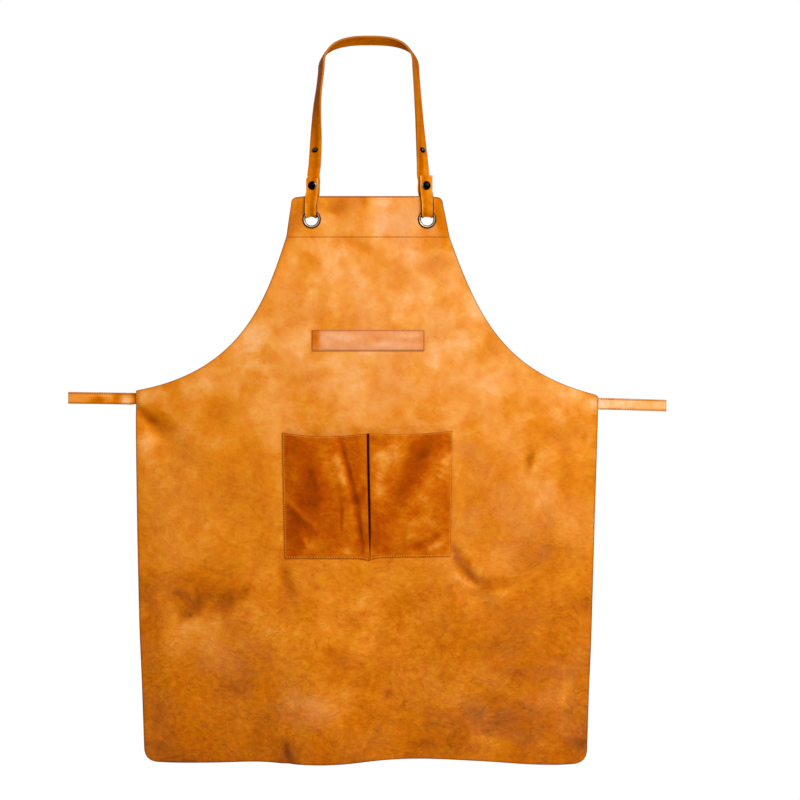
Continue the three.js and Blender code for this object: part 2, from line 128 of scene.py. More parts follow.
# Narrow creases and ridges in the hide, too fine for the plain solid.
CREASES = (
    Fold("above the pocket's left edge", (-117.6, 306), (-120.4, 332), 4.5, -1.8),
    Fold("below the pocket's left edge", (-120, 514), (-108, 566), 9, -4.5),
    Fold("hem notch left", (-116, 764), (-109, 795), 6, -4.5, True),
    Fold("brow over the left stain", (-237, 521), (-203, 533), 4.5, -2),
    Fold("tail of the left stain", (-178, 559), (-153, 545), 4.5, -1.6),
    Fold("lower nick left", (-118, 726), (-98, 731.5), 4, -1.6),
    Fold("lower nick middle", (-22, 711), (-7, 715.4), 4, -1.5),
    Fold("crease at the pocket's right corner", (120, 490), (128, 517), 6, -3),
    Fold("crease below that corner", (127, 515), (150, 542), 6.5, -3.4),
    Fold("crease off to the right", (152, 541), (206, 545), 7, -2.4),
    Fold("ridge below that corner", (121, 530), (151, 553), 6, 2.8),
    Fold("ridge under the right crease", (150, 566), (205, 553), 8, 2),
    Fold("bib diagonal", (-31, 61), (7, 79), 6, -1.2),
    Fold("right waist ridge", (179, 378), (162, 420), 3.6, 2),
    Fold("right waist ripple", (122, 402), (133, 368), 3.6, 1.8),
    Fold("right waist ripple below", (144, 458), (164, 420), 3.6, 2),
    Fold("right side groove", (273, 426), (284, 372), 8, -2),
    Fold("right side groove below", (248, 512), (256, 452), 10, -2),
    Fold("hem ridge right", (141, 759), (183, 771), 7, 2),
    Fold("hem corner ridge right", (286, 686), (273, 715), 7, 2),
    Fold("hem long ridge right", (210, 708), (253, 715), 6, 1.6),
    Fold("left waist ridge", (-286, 395), (-293, 412), 5, 1.4),
    Fold("left tie pull", (-332, 290), (-296, 326), 6.5, -4.2),
    Fold("left tie pull, lower side", (-318, 330), (-306, 352), 11, 2),
    Fold("hem ridge middle", (-6, 773), (10, 740), 5, 1.8),
    Fold("left skirt ridge", (-196, 664), (-178, 690), 6, 1.4),
)
FOLD_END = 0.3
# The hide is never quite flat: size and height of its unevenness.
RIPPLES = ((75, 1.1), (26, 0.35))
SLOPE_STEP = 1.0

# Neck strap: two layers sewn together, snapped to itself through the eyelets.
STRAP_X = 3.3
STRAP_WIDTH = 17.4
STRAP_THICK = 3
STRAP_CROWN = 0.35
STRAP_CELL = 2.2
STRAP_ACROSS = (-1, -0.9, -0.78, -0.6, -0.3, 0, 0.3, 0.6, 0.78, 0.9, 1)
TAB_END_LIFT = 0.3
TAB_END_LENGTH = 4
SNAP_FLAT = 6.6
CURL_OVER_EDGE = 0.15
CURL_AT_FLANGE = 0.4
CURL_TURN_END = 0.7
FLANGE_SHARE = 0.55
FLANGE_EASE = 0.4
TURN_STEPS = 12
# The fold hangs a little lower in front of the eyelet than inside it.
TURN_SAG = 2.2
RUN_LEAN = math.radians(32)
RUN_START_RISE = 24
RUN_START_HALF = 77
RUN_LENGTH = 200
RUN_STEPS = 8
RUN_END_HALF = 68.5
RUN_START_X = 2.4
ARCH_X = 0.2
ARCH_HEIGHT = 54
ARCH_LEAN = math.radians(36)
ARCH_STEPS = 12
# Along a run from its start, how far the strap has turned its edge to the front, in degrees.
TWIST_ALONG = (0, 30, 60, 90, 120, 160, 200)
ARCH_TWIST_POWER = 3
BOW_POWER = 1.6
# A side's hollow is where, as a share across the strap, its painted shade runs.
StrapSide = namedtuple("StrapSide", (
    "name sign tab_half tab_rise fold_half front_curl snap_run_half run_bow arch_power twist hollow"))
STRAP_SIDES = (
    StrapSide("left", -1, 79.9, 25, 82, 0.2, 78, 2.4, 2.6, (0, 9, 20, 39, 52, 63, 64), 0.2),
    StrapSide("right", 1, 79.7, 29, 81.2, 0.35, 76.4, 0.0, 2.8, (10, 30, 41, 52, 56.5, 61, 63), 0.38),
)
# In the eyelet the strap bunches and loses some of its width.
BUNCHED = 0.05
HOLE_CURL = 0.68
# Shares of the turn in the eyelet over which it curls up, and over which it opens again behind.
CURLING = (0.05, 0.5)
OPENING = (0.6, 1)
EDGE_CURL_SHARE = 1 / 3
FLAT_CURL = 1e-6
STRAP_ROUNDING = 0.45
# How much lighter the strap is along its length, from the left end by way of the arch to the right end.
STRAP_RUN = (-440, -375, -350, -270, -228, -186, -150, -120, -60, 0, 40, 75, 100, 120, 190, 230, 300, 350,
             375, 440)
STRAP_TONE = (0.16, 0.07, 0.08, 0.03, -0.06, -0.17, -0.23, -0.27, -0.08, -0.08, -0.13, -0.25, -0.16, -0.08,
              -0.06, -0.02, 0.05, -0.06, 0.2, 0.1)
# The folded ends are curled, and painted light makes them paler along their rims.
RIM_PAINTED_LIGHT = 0.2
RIM_LIGHT_WIDTH = 0.2
RIM_LIGHT_FROM = (320, 345)
# Painted shade runs down the strap's lower part, in its hollow: its darkness, its width as a share, and where
# it begins.
HOLLOW_PAINTED_SHADE = -0.24
HOLLOW_SHADE_WIDTH = 0.42
HOLLOW_SHADE_FROM = (190, 250)
# Round the eyelets the cut edges are handled dark; the darkening also stands in as painted shadow beside the
# tabs.
HANDLED_AND_SHADOW_FROM = (290, 320)
# Clouds along the strap: strength, length, how much narrower they are, and their layer of the noise.
STRAP_CLOUD = 0.08
STRAP_CLOUD_SIZE = 42
STRAP_CLOUD_STRETCH = 9
STRAP_LAYER = 3
STRAP_WORN = 0.5

# Eyelets, snaps and spare studs.
EYELET_HALF = 80.9
EYELET_DROP = 32.6
EYELET_HOLE = 8.6
EYELET_BARREL = 9.3
EYELET_FLANGE = 13.1
EYELET_DEPTH = 2.9
EYELET_NECK = 1.2
SNAP_HALF = 79.6
SNAP_RISE = 14.6
STUD_STEP = 2
POST_RADIUS = 1.9
Cap = namedtuple("Cap", "radius dome back back_height")
SNAP_CAP = Cap(6.2, 2.4, 4.6, 1.2)
STUD_CAP = Cap(4.5, 3.4, 4.2, 1.0)
ROUND_SIDES = 48
ROLL_STEPS = 12
# A cap's dome starts near its middle and ends short of its rim; the rim and the back flange are stepped.
DOME_POWER = 0.9
DOME_FROM = 0.06
DOME_TO = 0.46 * math.pi
DOME_STEPS = 9
CAP_RIM = 0.12
CAP_FOOT = 0.97
BACK_STEP = 0.5
BACK_TAPER = 0.88
BACK_MIDDLE = 0.2
# Rings on which the eyelets are rubbed bright, and painted highlights on the snaps and studs; on a snap only
# the part of its ring towards the middle.
BrightRing = namedtuple("BrightRing", "radius width strength")
EYELET_RUBBED = BrightRing((EYELET_HOLE + EYELET_FLANGE) / 2 - 0.3, 0.5, 1)
SNAP_PAINTED_HIGHLIGHT = BrightRing(SNAP_CAP.radius * 0.9, 0.8, 0.8)
STUD_PAINTED_HIGHLIGHT = BrightRing(STUD_CAP.radius * 0.4, 0.9, 0.22)
HIGHLIGHT_SIDE = (0.3, 0.95)

# Ties: short sewn straps behind the waist corners.
TIE_WIDTH = 16.6
TIE_THICK = 2.4
TIE_OVERLAP = 13
TIE_LENGTH = 99.8
TIE_WAVE = 1.2
TIE_WAVE_LENGTH = 17
TIE_EASE = 40
TIE_BOX = 5.6
TIE_BOX_INSET = 1.3
TIE_BOX_HALF = 10.6
TIE_CELL = 1.6
TIE_INSETS = EDGE_INSETS[:3]
TIE_ROUNDING = 0.45
TIE_BURNISH = Burnish(1.1, 0.45)
TIE_WORN = 0.3
# The right tie is paler than the left one.
TIE_SIDE_TONE = 0.045
Tie = namedtuple("Tie", "name sign edge root_drop end_drop")
TIES = (
    Tie("left", -1, LEFT_EDGE, 284, 282.6),
    Tie("right", 1, RIGHT_EDGE, 290.4, 293.6),
)

# Patch sewn on the bib.
PATCH_X = 1.7
PATCH_DROP = 202.2
PATCH_WIDTH = 158
PATCH_HEIGHT = 29.4
PATCH_THICK = 1.3
PATCH_CROWN = 0.6
PATCH_CELL = 1.2
PATCH_INSET = 1.2
PATCH_ROUNDING = 0.35
PATCH_BURNISH = Burnish(0.7, 0.14)
PATCH_UNEVEN = 0.25
PATCH_UNEVEN_SIZE = 13
PATCH_LAYER = 5
PATCH_WORN = 0.3

# Pocket: one panel, pleated down its middle so that it makes two compartments.
POCKET_LEATHER = 1.5
POCKET_TOP_LEFT = (-118.8, 331.5)
POCKET_TOP_RIGHT = (119.6, 329)
POCKET_BOTTOM_LEFT = (-115.2, 507.2)
POCKET_BOTTOM_RIGHT = (116.8, 504.7)
MOUTH_SAG = {"left": 4.6, "right": 2.6}
PLEAT_SAG = 2
POCKET_STANDOFF = 10.6
PLEAT_FOOT_X = 4.4
PLEAT_MOUTH_X = 1.2
POCKET_CELL = 2
# Section across a compartment, from its sewn edge towards the pleat: where, and how far it stands off.
POCKET_ACROSS = (0, 0.03, 0.09, 0.17, 0.3, 0.45, 0.6, 0.75, 0.88, 0.95)
POCKET_LEVEL = (0, 0.14, 0.52, 0.84, 0.98, 1, 1, 0.99, 0.96, 0.93)
# The pleat's folded edge: its distance from the middle, its roundness, and the steps round it.
PLEAT_SLIT = 1.45
PLEAT_ROUND = 2.6
PLEAT_STEPS = 7
PLEAT_FOOT_SHARE = 0.2
# Rises over which the painted shade in the slit sets in above its foot.
SLIT_SHADE_FOOT = (2, 8)
PLEAT_WALL = (0.7, 0.4, 0.1)
FOOT_BUMP = 2.6
LEFT_FOOT_SAG = 1.6
FOOT_BUMP_WIDTH = 10
# Painted shade darkens the folded edge towards the slit and fills the slit, whose walls lean in and which
# closes towards its foot.
PLEAT_PAINTED_SHADE = 0.5
PLEAT_SHADE_POWER = 6
PLEAT_TAPER = 0.2
SLIT_CLOSES = (0.02, 0.25)
MOUTH_POWER = 3
# Where the panel stands off enough to fold, and its unevenness.
LOOSE_FROM = (0.05, 0.5)
POCKET_UNEVEN = 0.5
POCKET_UNEVEN_SIZE = 22
POCKET_LAYER = 6
POCKET_ROUNDING = 0.4
POCKET_EDGE_WIDTH = 1.2
# The pocket's edges are burnished dark; round the left compartment they are darker with painted shadow, the
# light coming from the right.
POCKET_EDGE_DARK_AND_SHADOW = {"left": 0.45, "right": 0.15}
POCKET_WORN = 0.7
POCKET_FOLDS = (
    Fold("left ridge", (-113, 424), (-72, 466), 5, 2.2),
    Fold("left hollow under the ridge", (-112, 440), (-80, 474), 9, -2),
    Fold("left crease, upper", (-38, 342), (-17, 424), 4, -2.6),
    Fold("left crease, lip", (-46, 350), (-26, 424), 5, 1.4),
    Fold("left crease, lower", (-17, 424), (-7, 500), 4, -2.4),
    Fold("left streak", (-36, 428), (-36, 462), 3, -1.4),
    Fold("left lump", (-60, 478), (-84, 497), 7, 1.8),
    Fold("left hollow", (-82, 372), (-74, 440), 14, -2.2),
    Fold("right bulge", (24, 346), (40, 376), 22, 1.2),
    Fold("right band", (92, 338), (38, 428), 13, -3.2),
    Fold("right wrinkle one", (94, 381), (117, 389), 2.6, 2.2),
    Fold("right wrinkle two", (98, 391), (117, 401), 2.6, 1.9),
    Fold("right wrinkle three", (92, 372), (115, 376), 2.6, 1.7),
    Fold("right lump", (86, 496), (108, 482), 5, 1.9),
    Fold("right lump beside", (50, 484), (66, 476), 4.5, 2.4),
    Fold("right hollow", (66, 494), (84, 482), 4.5, -2),
    Fold("right hollow beside", (84, 488), (102, 473), 4, -1.8),
    Fold("right foot hollow", (22, 470), (30, 500), 8, -1.6),
)

# Seams: inset from the edge, and the thread.
SEAM_INSET = 2.3
NARROW_INSET = 1.5
POCKET_INSETS = (0, 0.7, NARROW_INSET, 2.3, 3.1, 4.6)
STITCH_PITCH = 3.5
STITCH_LENGTH = 1.9
STITCH_THICK = 1.3
STITCH_LIFT = 0.12
STITCH_SIDES = 6
STITCH_RINGS = 5
# Along one pitch: before, at and after a stitch's middle, which gives its direction.
STITCH_SPAN = (0.3, 0.5, 0.7)
SEAM_GROOVE = 0.3
SHALLOW_GROOVE = SEAM_GROOVE / 2
SEAM_WIDTH = 0.75

# Stains and pale patches on the hide, and in places painted shade and light along its folds: middle, half
# sizes, turn in degrees, and how much lighter.
ToneMark = namedtuple("ToneMark", "x drop wide tall turn tone")
BODY_STAINS_AND_PAINTED_LIGHT = (
    ToneMark(-38, 16, 20, 11, 0, -0.32),
    ToneMark(-6, 10, 8, 14, 30, -0.14),
    ToneMark(26, 11, 17, 9, 0, 0.14),
    ToneMark(28, 39, 28, 11, 0, 0.17),
    ToneMark(-55, 33, 14, 10, 0, 0.08),
    ToneMark(-100, 30, 13, 34, 10, -0.3),
    ToneMark(104, 34, 8, 34, -11, -0.26),
    ToneMark(-88, 97, 17, 28, 10, -0.12),
    ToneMark(-97, 130, 14, 18, 0, -0.1),
    # Painted shade along the bib's diagonal crease.
    ToneMark(-15, 69, 18, 6, 26, -0.1),
    ToneMark(-34, 75, 14, 14, 0, 0.12),
    ToneMark(52, 83, 17, 14, 0, 0.14),
    ToneMark(104, 97, 11, 14, 0, -0.16),
    ToneMark(39, 118, 20, 20, 0, -0.06),
    ToneMark(127, 166, 21, 21, 0, 0.08),
    ToneMark(-143, 148, 20, 30, 30, -0.08),
    ToneMark(-64, 251, 35, 7, -8, -0.1),
    ToneMark(-134, 230, 21, 14, 0, 0.08),
    ToneMark(94, 230, 14, 11, 0, 0.1),
    ToneMark(-203, 291, 35, 21, -15, -0.1),
    ToneMark(-27, 272, 25, 17, 0, 0.06),
    # Painted light on the slope below the left tie's dent.
    ToneMark(-311, 345, 15, 22, 0, 0.06),
    ToneMark(298, 290, 26, 18, 0, 0.1),
    # Painted highlight on the small fold at the right tie's root.
    ToneMark(320, 290, 4, 8, 0, 0.2),
    ToneMark(-320, 283, 3.5, 9, 0, 0.12),
    # Painted shadow in the dent below the left tie.
    ToneMark(-299, 316, 27, 18, 44, -0.25),
    ToneMark(-205, 312, 33, 27, 0, -0.1),
    ToneMark(-252, 360, 16, 13, 0, -0.12),
    ToneMark(-152, 378, 16, 30, 0, -0.13),
    ToneMark(-290, 358, 18, 13, 0, -0.09),
    ToneMark(-280, 407, 42, 34, 0, 0.01),
    ToneMark(-195, 407, 48, 55, 0, -0.05),
    ToneMark(-164, 536, 34, 27, 0, 0.1),
    ToneMark(-235, 570, 90, 90, 0, -0.07),
    ToneMark(-236, 545, 75, 30, -6, -0.14),
    ToneMark(-241, 564, 23, 18, 20, -0.24),
    ToneMark(-256, 588, 12, 10, 0, -0.2),
    ToneMark(-194, 568, 18, 17, -30, -0.28),
    ToneMark(-308, 552, 15, 27, 0, -0.16),
    # Painted shade along the crease below the pocket's left edge.
    ToneMark(-112, 556, 9, 33, -8, -0.06),
    ToneMark(-234, 600, 46, 13, -6, 0.15),
    ToneMark(-194, 596, 10, 20, 0, -0.16),
    ToneMark(-146, 588, 24, 24, 0, 0.12),
    ToneMark(-235, 628, 54, 20, 0, 0.1),
    ToneMark(-304, 612, 16, 60, 0, -0.16),
    ToneMark(-186, 692, 24, 16, 0, -0.14),
    ToneMark(-115, 644, 18, 27, 0, 0.09),
    ToneMark(-36, 643, 16, 13, 0, -0.16),
    ToneMark(-57, 715, 40, 20, 0, 0.1),
    ToneMark(-278, 731, 27, 20, 0, -0.1),
    # Painted shade along the left hem notch.
    ToneMark(-113, 776, 5, 12, -12, -0.06),
    # Painted shade where the left hem corner curls back.
    ToneMark(-302, 784, 22, 12, 30, -0.22),
    ToneMark(-110, 708, 11, 27, 0, 0.08),
    ToneMark(116, 566, 16, 17, 0, -0.12),
    # The next four follow the creases and ridges off the pocket's right corner: painted shade in the creases,
    # painted light on the ridges.
    ToneMark(134, 515, 7.5, 34, -30, -0.17),
    ToneMark(180, 543, 32, 6.5, 3, -0.12),
    ToneMark(136, 542, 20, 6, 36, 0.08),
    ToneMark(177, 561, 34, 8, -14, 0.08),
    ToneMark(172, 634, 35, 14, 0, -0.1),
    ToneMark(225, 666, 56, 11, 6, -0.13),
    ToneMark(258, 613, 42, 28, 0, 0.06),
    ToneMark(176, 731, 25, 17, 0, -0.2),
    ToneMark(111, 671, 11, 9, 0, -0.15),
    ToneMark(29, 696, 6, 6, 0, -0.2),
    ToneMark(108, 748, 14, 11, 0, 0.08),
    ToneMark(179, 764, 28, 7, 12, 0.12),
    ToneMark(244, 704, 42, 11, 8, 0.08),
    ToneMark(275, 699, 9, 21, 20, 0.1),
    # Painted shade where the right hem corner curls back.
    ToneMark(300, 763, 11, 21, 0, -0.2),
    ToneMark(305, 570, 11, 17, 0, -0.12),
    ToneMark(80, 769, 17, 7, 0, -0.12),
    ToneMark(3, 630, 17, 28, 0, 0.08),
    ToneMark(229, 367, 7, 17, 8, -0.26),
    ToneMark(307, 337, 6, 6, 0, -0.14),
    ToneMark(148, 436, 14, 21, 25, -0.1),
    ToneMark(244, 409, 25, 17, 0, 0.1),
    ToneMark(273, 494, 20, 11, 0, -0.1),
    ToneMark(231, 510, 28, 17, 0, -0.08),
    # Painted shade along the right side groove.
    ToneMark(283, 400, 10, 28, 8, -0.08),
    ToneMark(166, 382, 28, 28, 0, -0.05),
    ToneMark(0, 600, 100, 60, 0, 0.06),
    ToneMark(235, 590, 80, 70, 0, -0.15),
    ToneMark(170, 735, 160, 40, 0, -0.08),
)
POCKET_STAINS_AND_PAINTED_LIGHT = (
    ToneMark(-97, 352, 20, 14, 10, -0.14),
    ToneMark(-84, 412, 20, 46, -8, -0.2),
    ToneMark(-100, 457, 15, 24, 0, -0.14),
    # Painted highlight along the left ridge.
    ToneMark(-93, 443, 3.5, 26, -46, 0.08),
    # The next two follow the left crease: painted shade in it, painted light on its lip.
    ToneMark(-24, 388, 3, 42, -15, -0.16),
    ToneMark(-34, 388, 6, 40, -15, 0.08),
    ToneMark(-48, 372, 12, 26, 0, 0.05),
    # Painted shade along the left crease's lower part.
    ToneMark(-8, 466, 3, 34, -5, -0.16),
    ToneMark(-14, 424, 9, 8, 0, -0.22),
    ToneMark(-6, 414, 4, 10, 0, -0.12),
    ToneMark(-35.5, 449, 2, 22, 0, -0.16),
    ToneMark(-86, 484, 3.5, 11, -25, 0.14),
    ToneMark(-98, 487, 10, 12, 0, -0.12),
    ToneMark(-32, 498, 18, 7, 0, 0.1),
    ToneMark(60, 420, 60, 85, 0, 0.13),
    ToneMark(33, 358, 20, 26, 20, 0.08),
    ToneMark(17, 400, 7, 30, 0, 0.05),
    # Painted shade along the hollow of the right band.
    ToneMark(64, 386, 14, 52, 28, -0.2),
    ToneMark(38, 444, 17, 15, 0, -0.14),
    ToneMark(106, 365, 10, 13, 0, 0.18),
    ToneMark(86, 440, 26, 22, 0, -0.02),
    # The next three lie at the right compartment's foot: painted highlights on two lumps, painted shade in
    # the hollow between.
    ToneMark(58, 478, 7, 4, -20, 0.18),
    ToneMark(97, 489, 11, 5, -32, 0.1),
    ToneMark(73, 489, 9, 5, -30, -0.14),
    ToneMark(12, 478, 6, 18, 0, -0.12),
)
# Where the dye took less.
BODY_BLUSH = (
    ToneMark(30, 190, 190, 170, 0, 0.36),
    ToneMark(-272, 420, 62, 110, 0, 0.06),
    ToneMark(-222, 632, 66, 42, 0, 0.14),
    ToneMark(55, 28, 60, 34, 0, 0.7),
    ToneMark(106, 30, 10, 44, -11, -0.6),
    ToneMark(-75, 712, 40, 28, 0, 0.35),
    ToneMark(110, 745, 26, 18, 0, 0.1),
    ToneMark(200, 420, 120, 120, 0, 0.18),
    ToneMark(220, 700, 120, 60, 0, 0.12),
)
PATCH_STAINS = (
    ToneMark(-72.5, 202, 8, 18, 10, -0.36),
    ToneMark(-58, 206, 9, 7, 20, 0.2),
    ToneMark(-36, 196, 26, 5, 0, 0.2),
    ToneMark(12, 199, 16, 8, 0, -0.08),
    ToneMark(44, 209, 30, 5, 0, 0.18),
    ToneMark(58, 195, 12, 4, 0, 0.16),
    ToneMark(78, 203, 5, 14, 0, -0.14),
)
TIE_STAINS_AND_HIGHLIGHTS = (
    ToneMark(-406, 282, 14, 20, 0, 0.03),
    ToneMark(-385, 286, 15, 6, 0, -0.3),
    # Painted highlight on the left tie.
    ToneMark(-372, 279, 9, 5, 0, 0.14),
    ToneMark(-358, 283, 9, 20, 0, -0.34),
    # Painted highlight on the left tie, near its root.
    ToneMark(-342, 285, 9, 7, 20, 0.32),
    ToneMark(-330, 283, 6, 20, 0, -0.34),
    ToneMark(338, 288, 8, 12, 35, 0.14),
    ToneMark(352, 294, 12, 7, 0, 0.1),
    ToneMark(366, 292, 14, 20, 0, 0.12),
)
# Painted light: the hide is lighter on the bib and darker at the hem, as the light falls off from above.
PAINTED_FALLOFF_DROP = (-10, 250, 385, 600, 715, 800)
PAINTED_FALLOFF_TONE = (0.14, 0.175, 0.05, -0.02, -0.16, -0.21)
# The skirt's dye is worn in places.
WORN_BLUSH = 0.05
BLUSH_FROM = (300, 480)
# Along its left edges the hide turns away from the key light: painted shade darkens it there.
TURNED_AWAY_SHADE = -0.12
TURNED_AWAY_SHADE_WIDTH = 5
# The hide is more worn towards the hem.
WORN_DROP = (250, 400, 600, 720)
WORN = (0.25, 0.6, 1.0, 1.2)
# How much lighter a ridge and how much darker a hollow is for each millimetre of its height: on a ridge the
# wax pulls up pale, with painted light, and in a hollow it is painted shade.
FOLD_PULL_UP_AND_SHADE = 0.04
# The outlines of the stains and of the painted light and shade wander: size of the wandering's features, and
# how far.
MARK_WANDER = ((38, 13), (14, 6), (6, 2.5))
MARK_CRISPNESS = 2.6
MARK_BROAD = 16
ASIDE_LAYER = 10
DOWN_LAYER = 20

# Camera: the photo's frame is 800 pixels of 1.4 mm at the bib, seen level from 3.2 m.
FRAME_PIXELS = 800
PIXEL = 1.4
BIB_TOP_MIDDLE_PIXEL = (367, 196)
CAMERA_DISTANCE = 3200
SENSOR_WIDTH = 36

# Studio, in metres and watts: a round paper floor below the hem, four soft boxes and a white surround.
FLOOR_RADIUS = 1.55
FLOOR_BELOW = 0.42
FLOOR_SIDES = 128
SoftBox = namedtuple("SoftBox", "name place size power tint")
SOFT_BOXES = (
    SoftBox("key_softbox", (1.25, -2.1, 0.95), 0.9, 48, "fffaf2"),
    SoftBox("front_softbox", (0.1, -3.1, 0.75), 1.4, 12, "ffffff"),
    SoftBox("left_softbox", (-1.7, -1.5, 0.2), 0.25, 2.5, "ffffff"),
    SoftBox("back_softbox", (-0.4, 2.5, 0.6), 1.6, 20, "ffffff"),
)
SURROUND_LIGHT = 0.4
SURROUND_SEEN = 1.0

# Finishing of meshes: angles in degrees, the drill's length, and how near points are merged.
BEVEL_ANGLE = 50
SMOOTH_ANGLE = 60
ROUND_SMOOTH_ANGLE = 40
DRILL_DEPTH = 20
MERGE = 0.01
BEVEL_MERGE = 0.02


def bib_origin():
    """Middle of the bib's top edge on its front face, worked out from the two eyelets."""
    corners = [corner for side in STRAP_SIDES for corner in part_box(f"eyelet_{side.name}")]
    middle = sum(corners, Vector()) / len(corners)
    return middle - Vector((STRAP_X, LEATHER, -EYELET_DROP)) * MM


BIB = bib_origin()


def placed(points):
    """Points in the row frame, in metres."""
    return np.asarray(points, float) * MM + np.array(BIB)


# Small sums

def smoothstep(value, low, high):
    """Rises from 0 to 1 between two values, slowly at both ends."""
    share = np.clip((value - low) / (high - low), 0, 1)
    return share * share * (3 - 2 * share)


def bell(distance, width):
    """1 where there is no distance, falling off smoothly over a width."""
    return np.exp(-((distance / width) ** 2))


def unit(vectors):
    """Vectors of length 1 in the same directions."""
    return vectors / np.linalg.norm(vectors, axis=-1, keepdims=True)


def bezier(controls, t):
    """Points along a Bezier curve of any degree."""
    points = [np.asarray(control, float)[None, :] for control in controls]
    t = np.asarray(t)[:, None]
    while len(points) > 1:
        points = [first * (1 - t) + second * t for first, second in zip(points, points[1:])]
    return points[0]


def reach_of(line):
    """Length along a line at each of its points."""
    steps = np.linalg.norm(np.diff(line, axis=0), axis=1)
    return np.concatenate([[0], np.cumsum(steps)])


def along_line(line, shares):
    """Points at the given shares of a line's length."""
    reach = reach_of(line)
    columns = [np.interp(np.asarray(shares) * reach[-1], reach, column) for column in line.T]
    return np.stack(columns, 1)


def rounded(before, after, radius):
    """Two lines that meet at a corner, with the corner rounded off. Each keeps half of the rounding."""
    first = along_line(before, np.linspace(0, 1 - radius / reach_of(before)[-1], len(before)))
    last = along_line(after, np.linspace(radius / reach_of(after)[-1], 1, len(after)))
    turn = bezier([first[-1], before[-1], last[0]], np.linspace(0, 1, 2 * CORNER_STEPS + 1))
    start = np.concatenate([first, turn[1:CORNER_STEPS + 1]])
    end = np.concatenate([turn[CORNER_STEPS:], last[1:]])
    return start, end


def smooth_through(places, values, at):
    """Values of a smooth line through known ones, at other places."""
    places = np.asarray(places, float)
    values = np.asarray(values, float)
    slopes = np.gradient(values, places, axis=0)
    k = np.clip(np.searchsorted(places, at, side="right") - 1, 0, len(places) - 2)
    span = places[k + 1] - places[k]
    t = (at - places[k]) / span
    if values.ndim > 1:
        span = span[:, None]
        t = t[:, None]
    start = values[k] * (1 + 2 * t) * (1 - t) ** 2 + slopes[k] * span * t * (1 - t) ** 2
    end = values[k + 1] * t * t * (3 - 2 * t) - slopes[k + 1] * span * t * t * (1 - t)
    return start + end


def crowded(length, cell, start=(0,), end=(0,)):
    """Places from 0 to a length, a cell apart, with finer insets at its two ends."""
    inner = np.linspace(max(start), length - max(end), max(2, round(length / cell)))
    places = [*sorted(start)[:-1], *inner, *(length - inset for inset in sorted(end, reverse=True)[1:])]
    return np.array(places)


# The hide's surface

def hide_noise(x, drop, size, layer):
    """Smooth noise from about -1 to 1 over the hide, with features of about that size."""
    places = zip((x / size).ravel(), (drop / size).ravel())
    values = [noise.noise((across, down, layer)) for across, down in places]
    return np.reshape(values, np.shape(x))


def fold_height(fold, x, drop):
    """How far one fold stands out towards the viewer."""
    start = np.array(fold.start, float)
    line = np.array(fold.end, float) - start
    length = np.hypot(*line)
    along = ((x - start[0]) * line[0] + (drop - start[1]) * line[1]) / length ** 2
    aside = ((x - start[0]) * line[1] - (drop - start[1]) * line[0]) / length
    rise = smoothstep(along, -FOLD_END, FOLD_END)
    fall = 1 if fold.open else 1 - smoothstep(along, 1 - FOLD_END, 1 + FOLD_END)
    return fold.height * rise * fall * bell(aside, fold.width)


def body_back(x, drop):
    """How far the body's front face lies behind the bib's plane."""
    to_waist = smoothstep(drop, WRAP_START, WAIST_DROP)
    to_hem = smoothstep(drop, WAIST_DROP, BODY_HEIGHT)
    wrap = WRAP_WAIST * to_waist * (1 - to_hem) + WRAP_HEM * to_hem
    back = wrap * (x / HALF_WIDTH) ** 2
    for fold in FOLDS + CREASES:
        back = back - fold_height(fold, x, drop)
    loose = smoothstep(drop, TOP_HEM, 2 * TOP_HEM)
    for layer, (size, height) in enumerate(RIPPLES):
        back = back - height * loose * hide_noise(x, drop, size, layer)
    return back


def off_body(x, drop, distance):
    """Points at a distance in front of the body's front face, or behind it where that is negative."""
    x, drop, distance = np.broadcast_arrays(np.asarray(x, float), drop, distance)
    across = (body_back(x + SLOPE_STEP, drop) - body_back(x - SLOPE_STEP, drop)) / (2 * SLOPE_STEP)
    down = (body_back(x, drop + SLOPE_STEP) - body_back(x, drop - SLOPE_STEP)) / (2 * SLOPE_STEP)
    outward = unit(np.stack([across, -np.ones_like(x), -down], -1))
    return np.stack([x, body_back(x, drop), -drop], -1) + outward * distance[..., None]


def mark_tone(stains, x, drop):
    """How much lighter or darker the listed stains and marks of painted light and shade make the hide. Broad
    ones have ragged outlines.
    """
    aside = np.zeros(np.shape(x))
    down = np.zeros(np.shape(x))
    for layer, (size, reach) in enumerate(MARK_WANDER):
        aside = aside + reach * hide_noise(x + aside, drop + down, size, ASIDE_LAYER + layer)
        down = down + reach * hide_noise(x + aside, drop + down, size, DOWN_LAYER + layer)
    tone = np.zeros(np.shape(x))
    for stain in stains:
        turn = math.radians(stain.turn)
        ragged = min(1, min(stain.wide, stain.tall) / MARK_BROAD)
        right = x + ragged * aside - stain.x
        below = drop + ragged * down - stain.drop
        across = right * math.cos(turn) + below * math.sin(turn)
        along = below * math.cos(turn) - right * math.sin(turn)
        away = np.hypot(across / stain.wide, along / stain.tall)
        tone += stain.tone * np.exp(-(away ** MARK_CRISPNESS))
    return tone


def fold_pull_up_and_shade(folds, x, drop):
    """Waxed leather pales where it stands out, as its wax pulls up, with painted light; the darkening in its
    hollows is painted shade.
    """
    return FOLD_PULL_UP_AND_SHADE * sum(fold_height(fold, x, drop) for fold in folds)


# Materials

# Sizes of the materials' patterns in millimetres.
CLOUD_SIZE = 110
MOTTLE_SIZE = 36
BLOTCH_SIZE = 10
FIBRE_SIZE = 9
WRINKLE_SIZE = 42
STREAK_WANDER = 60
DRIFT_SIZE = 18
DYE_SIZE = 55
PORE_SIZE = 3.2
GRAIN_SIZE = 2.4
SPLIT_SIZE = 60
PLY_SIZE = 1.2
MARK_SIZE = 2.5
TOOTH_SIZE = 4
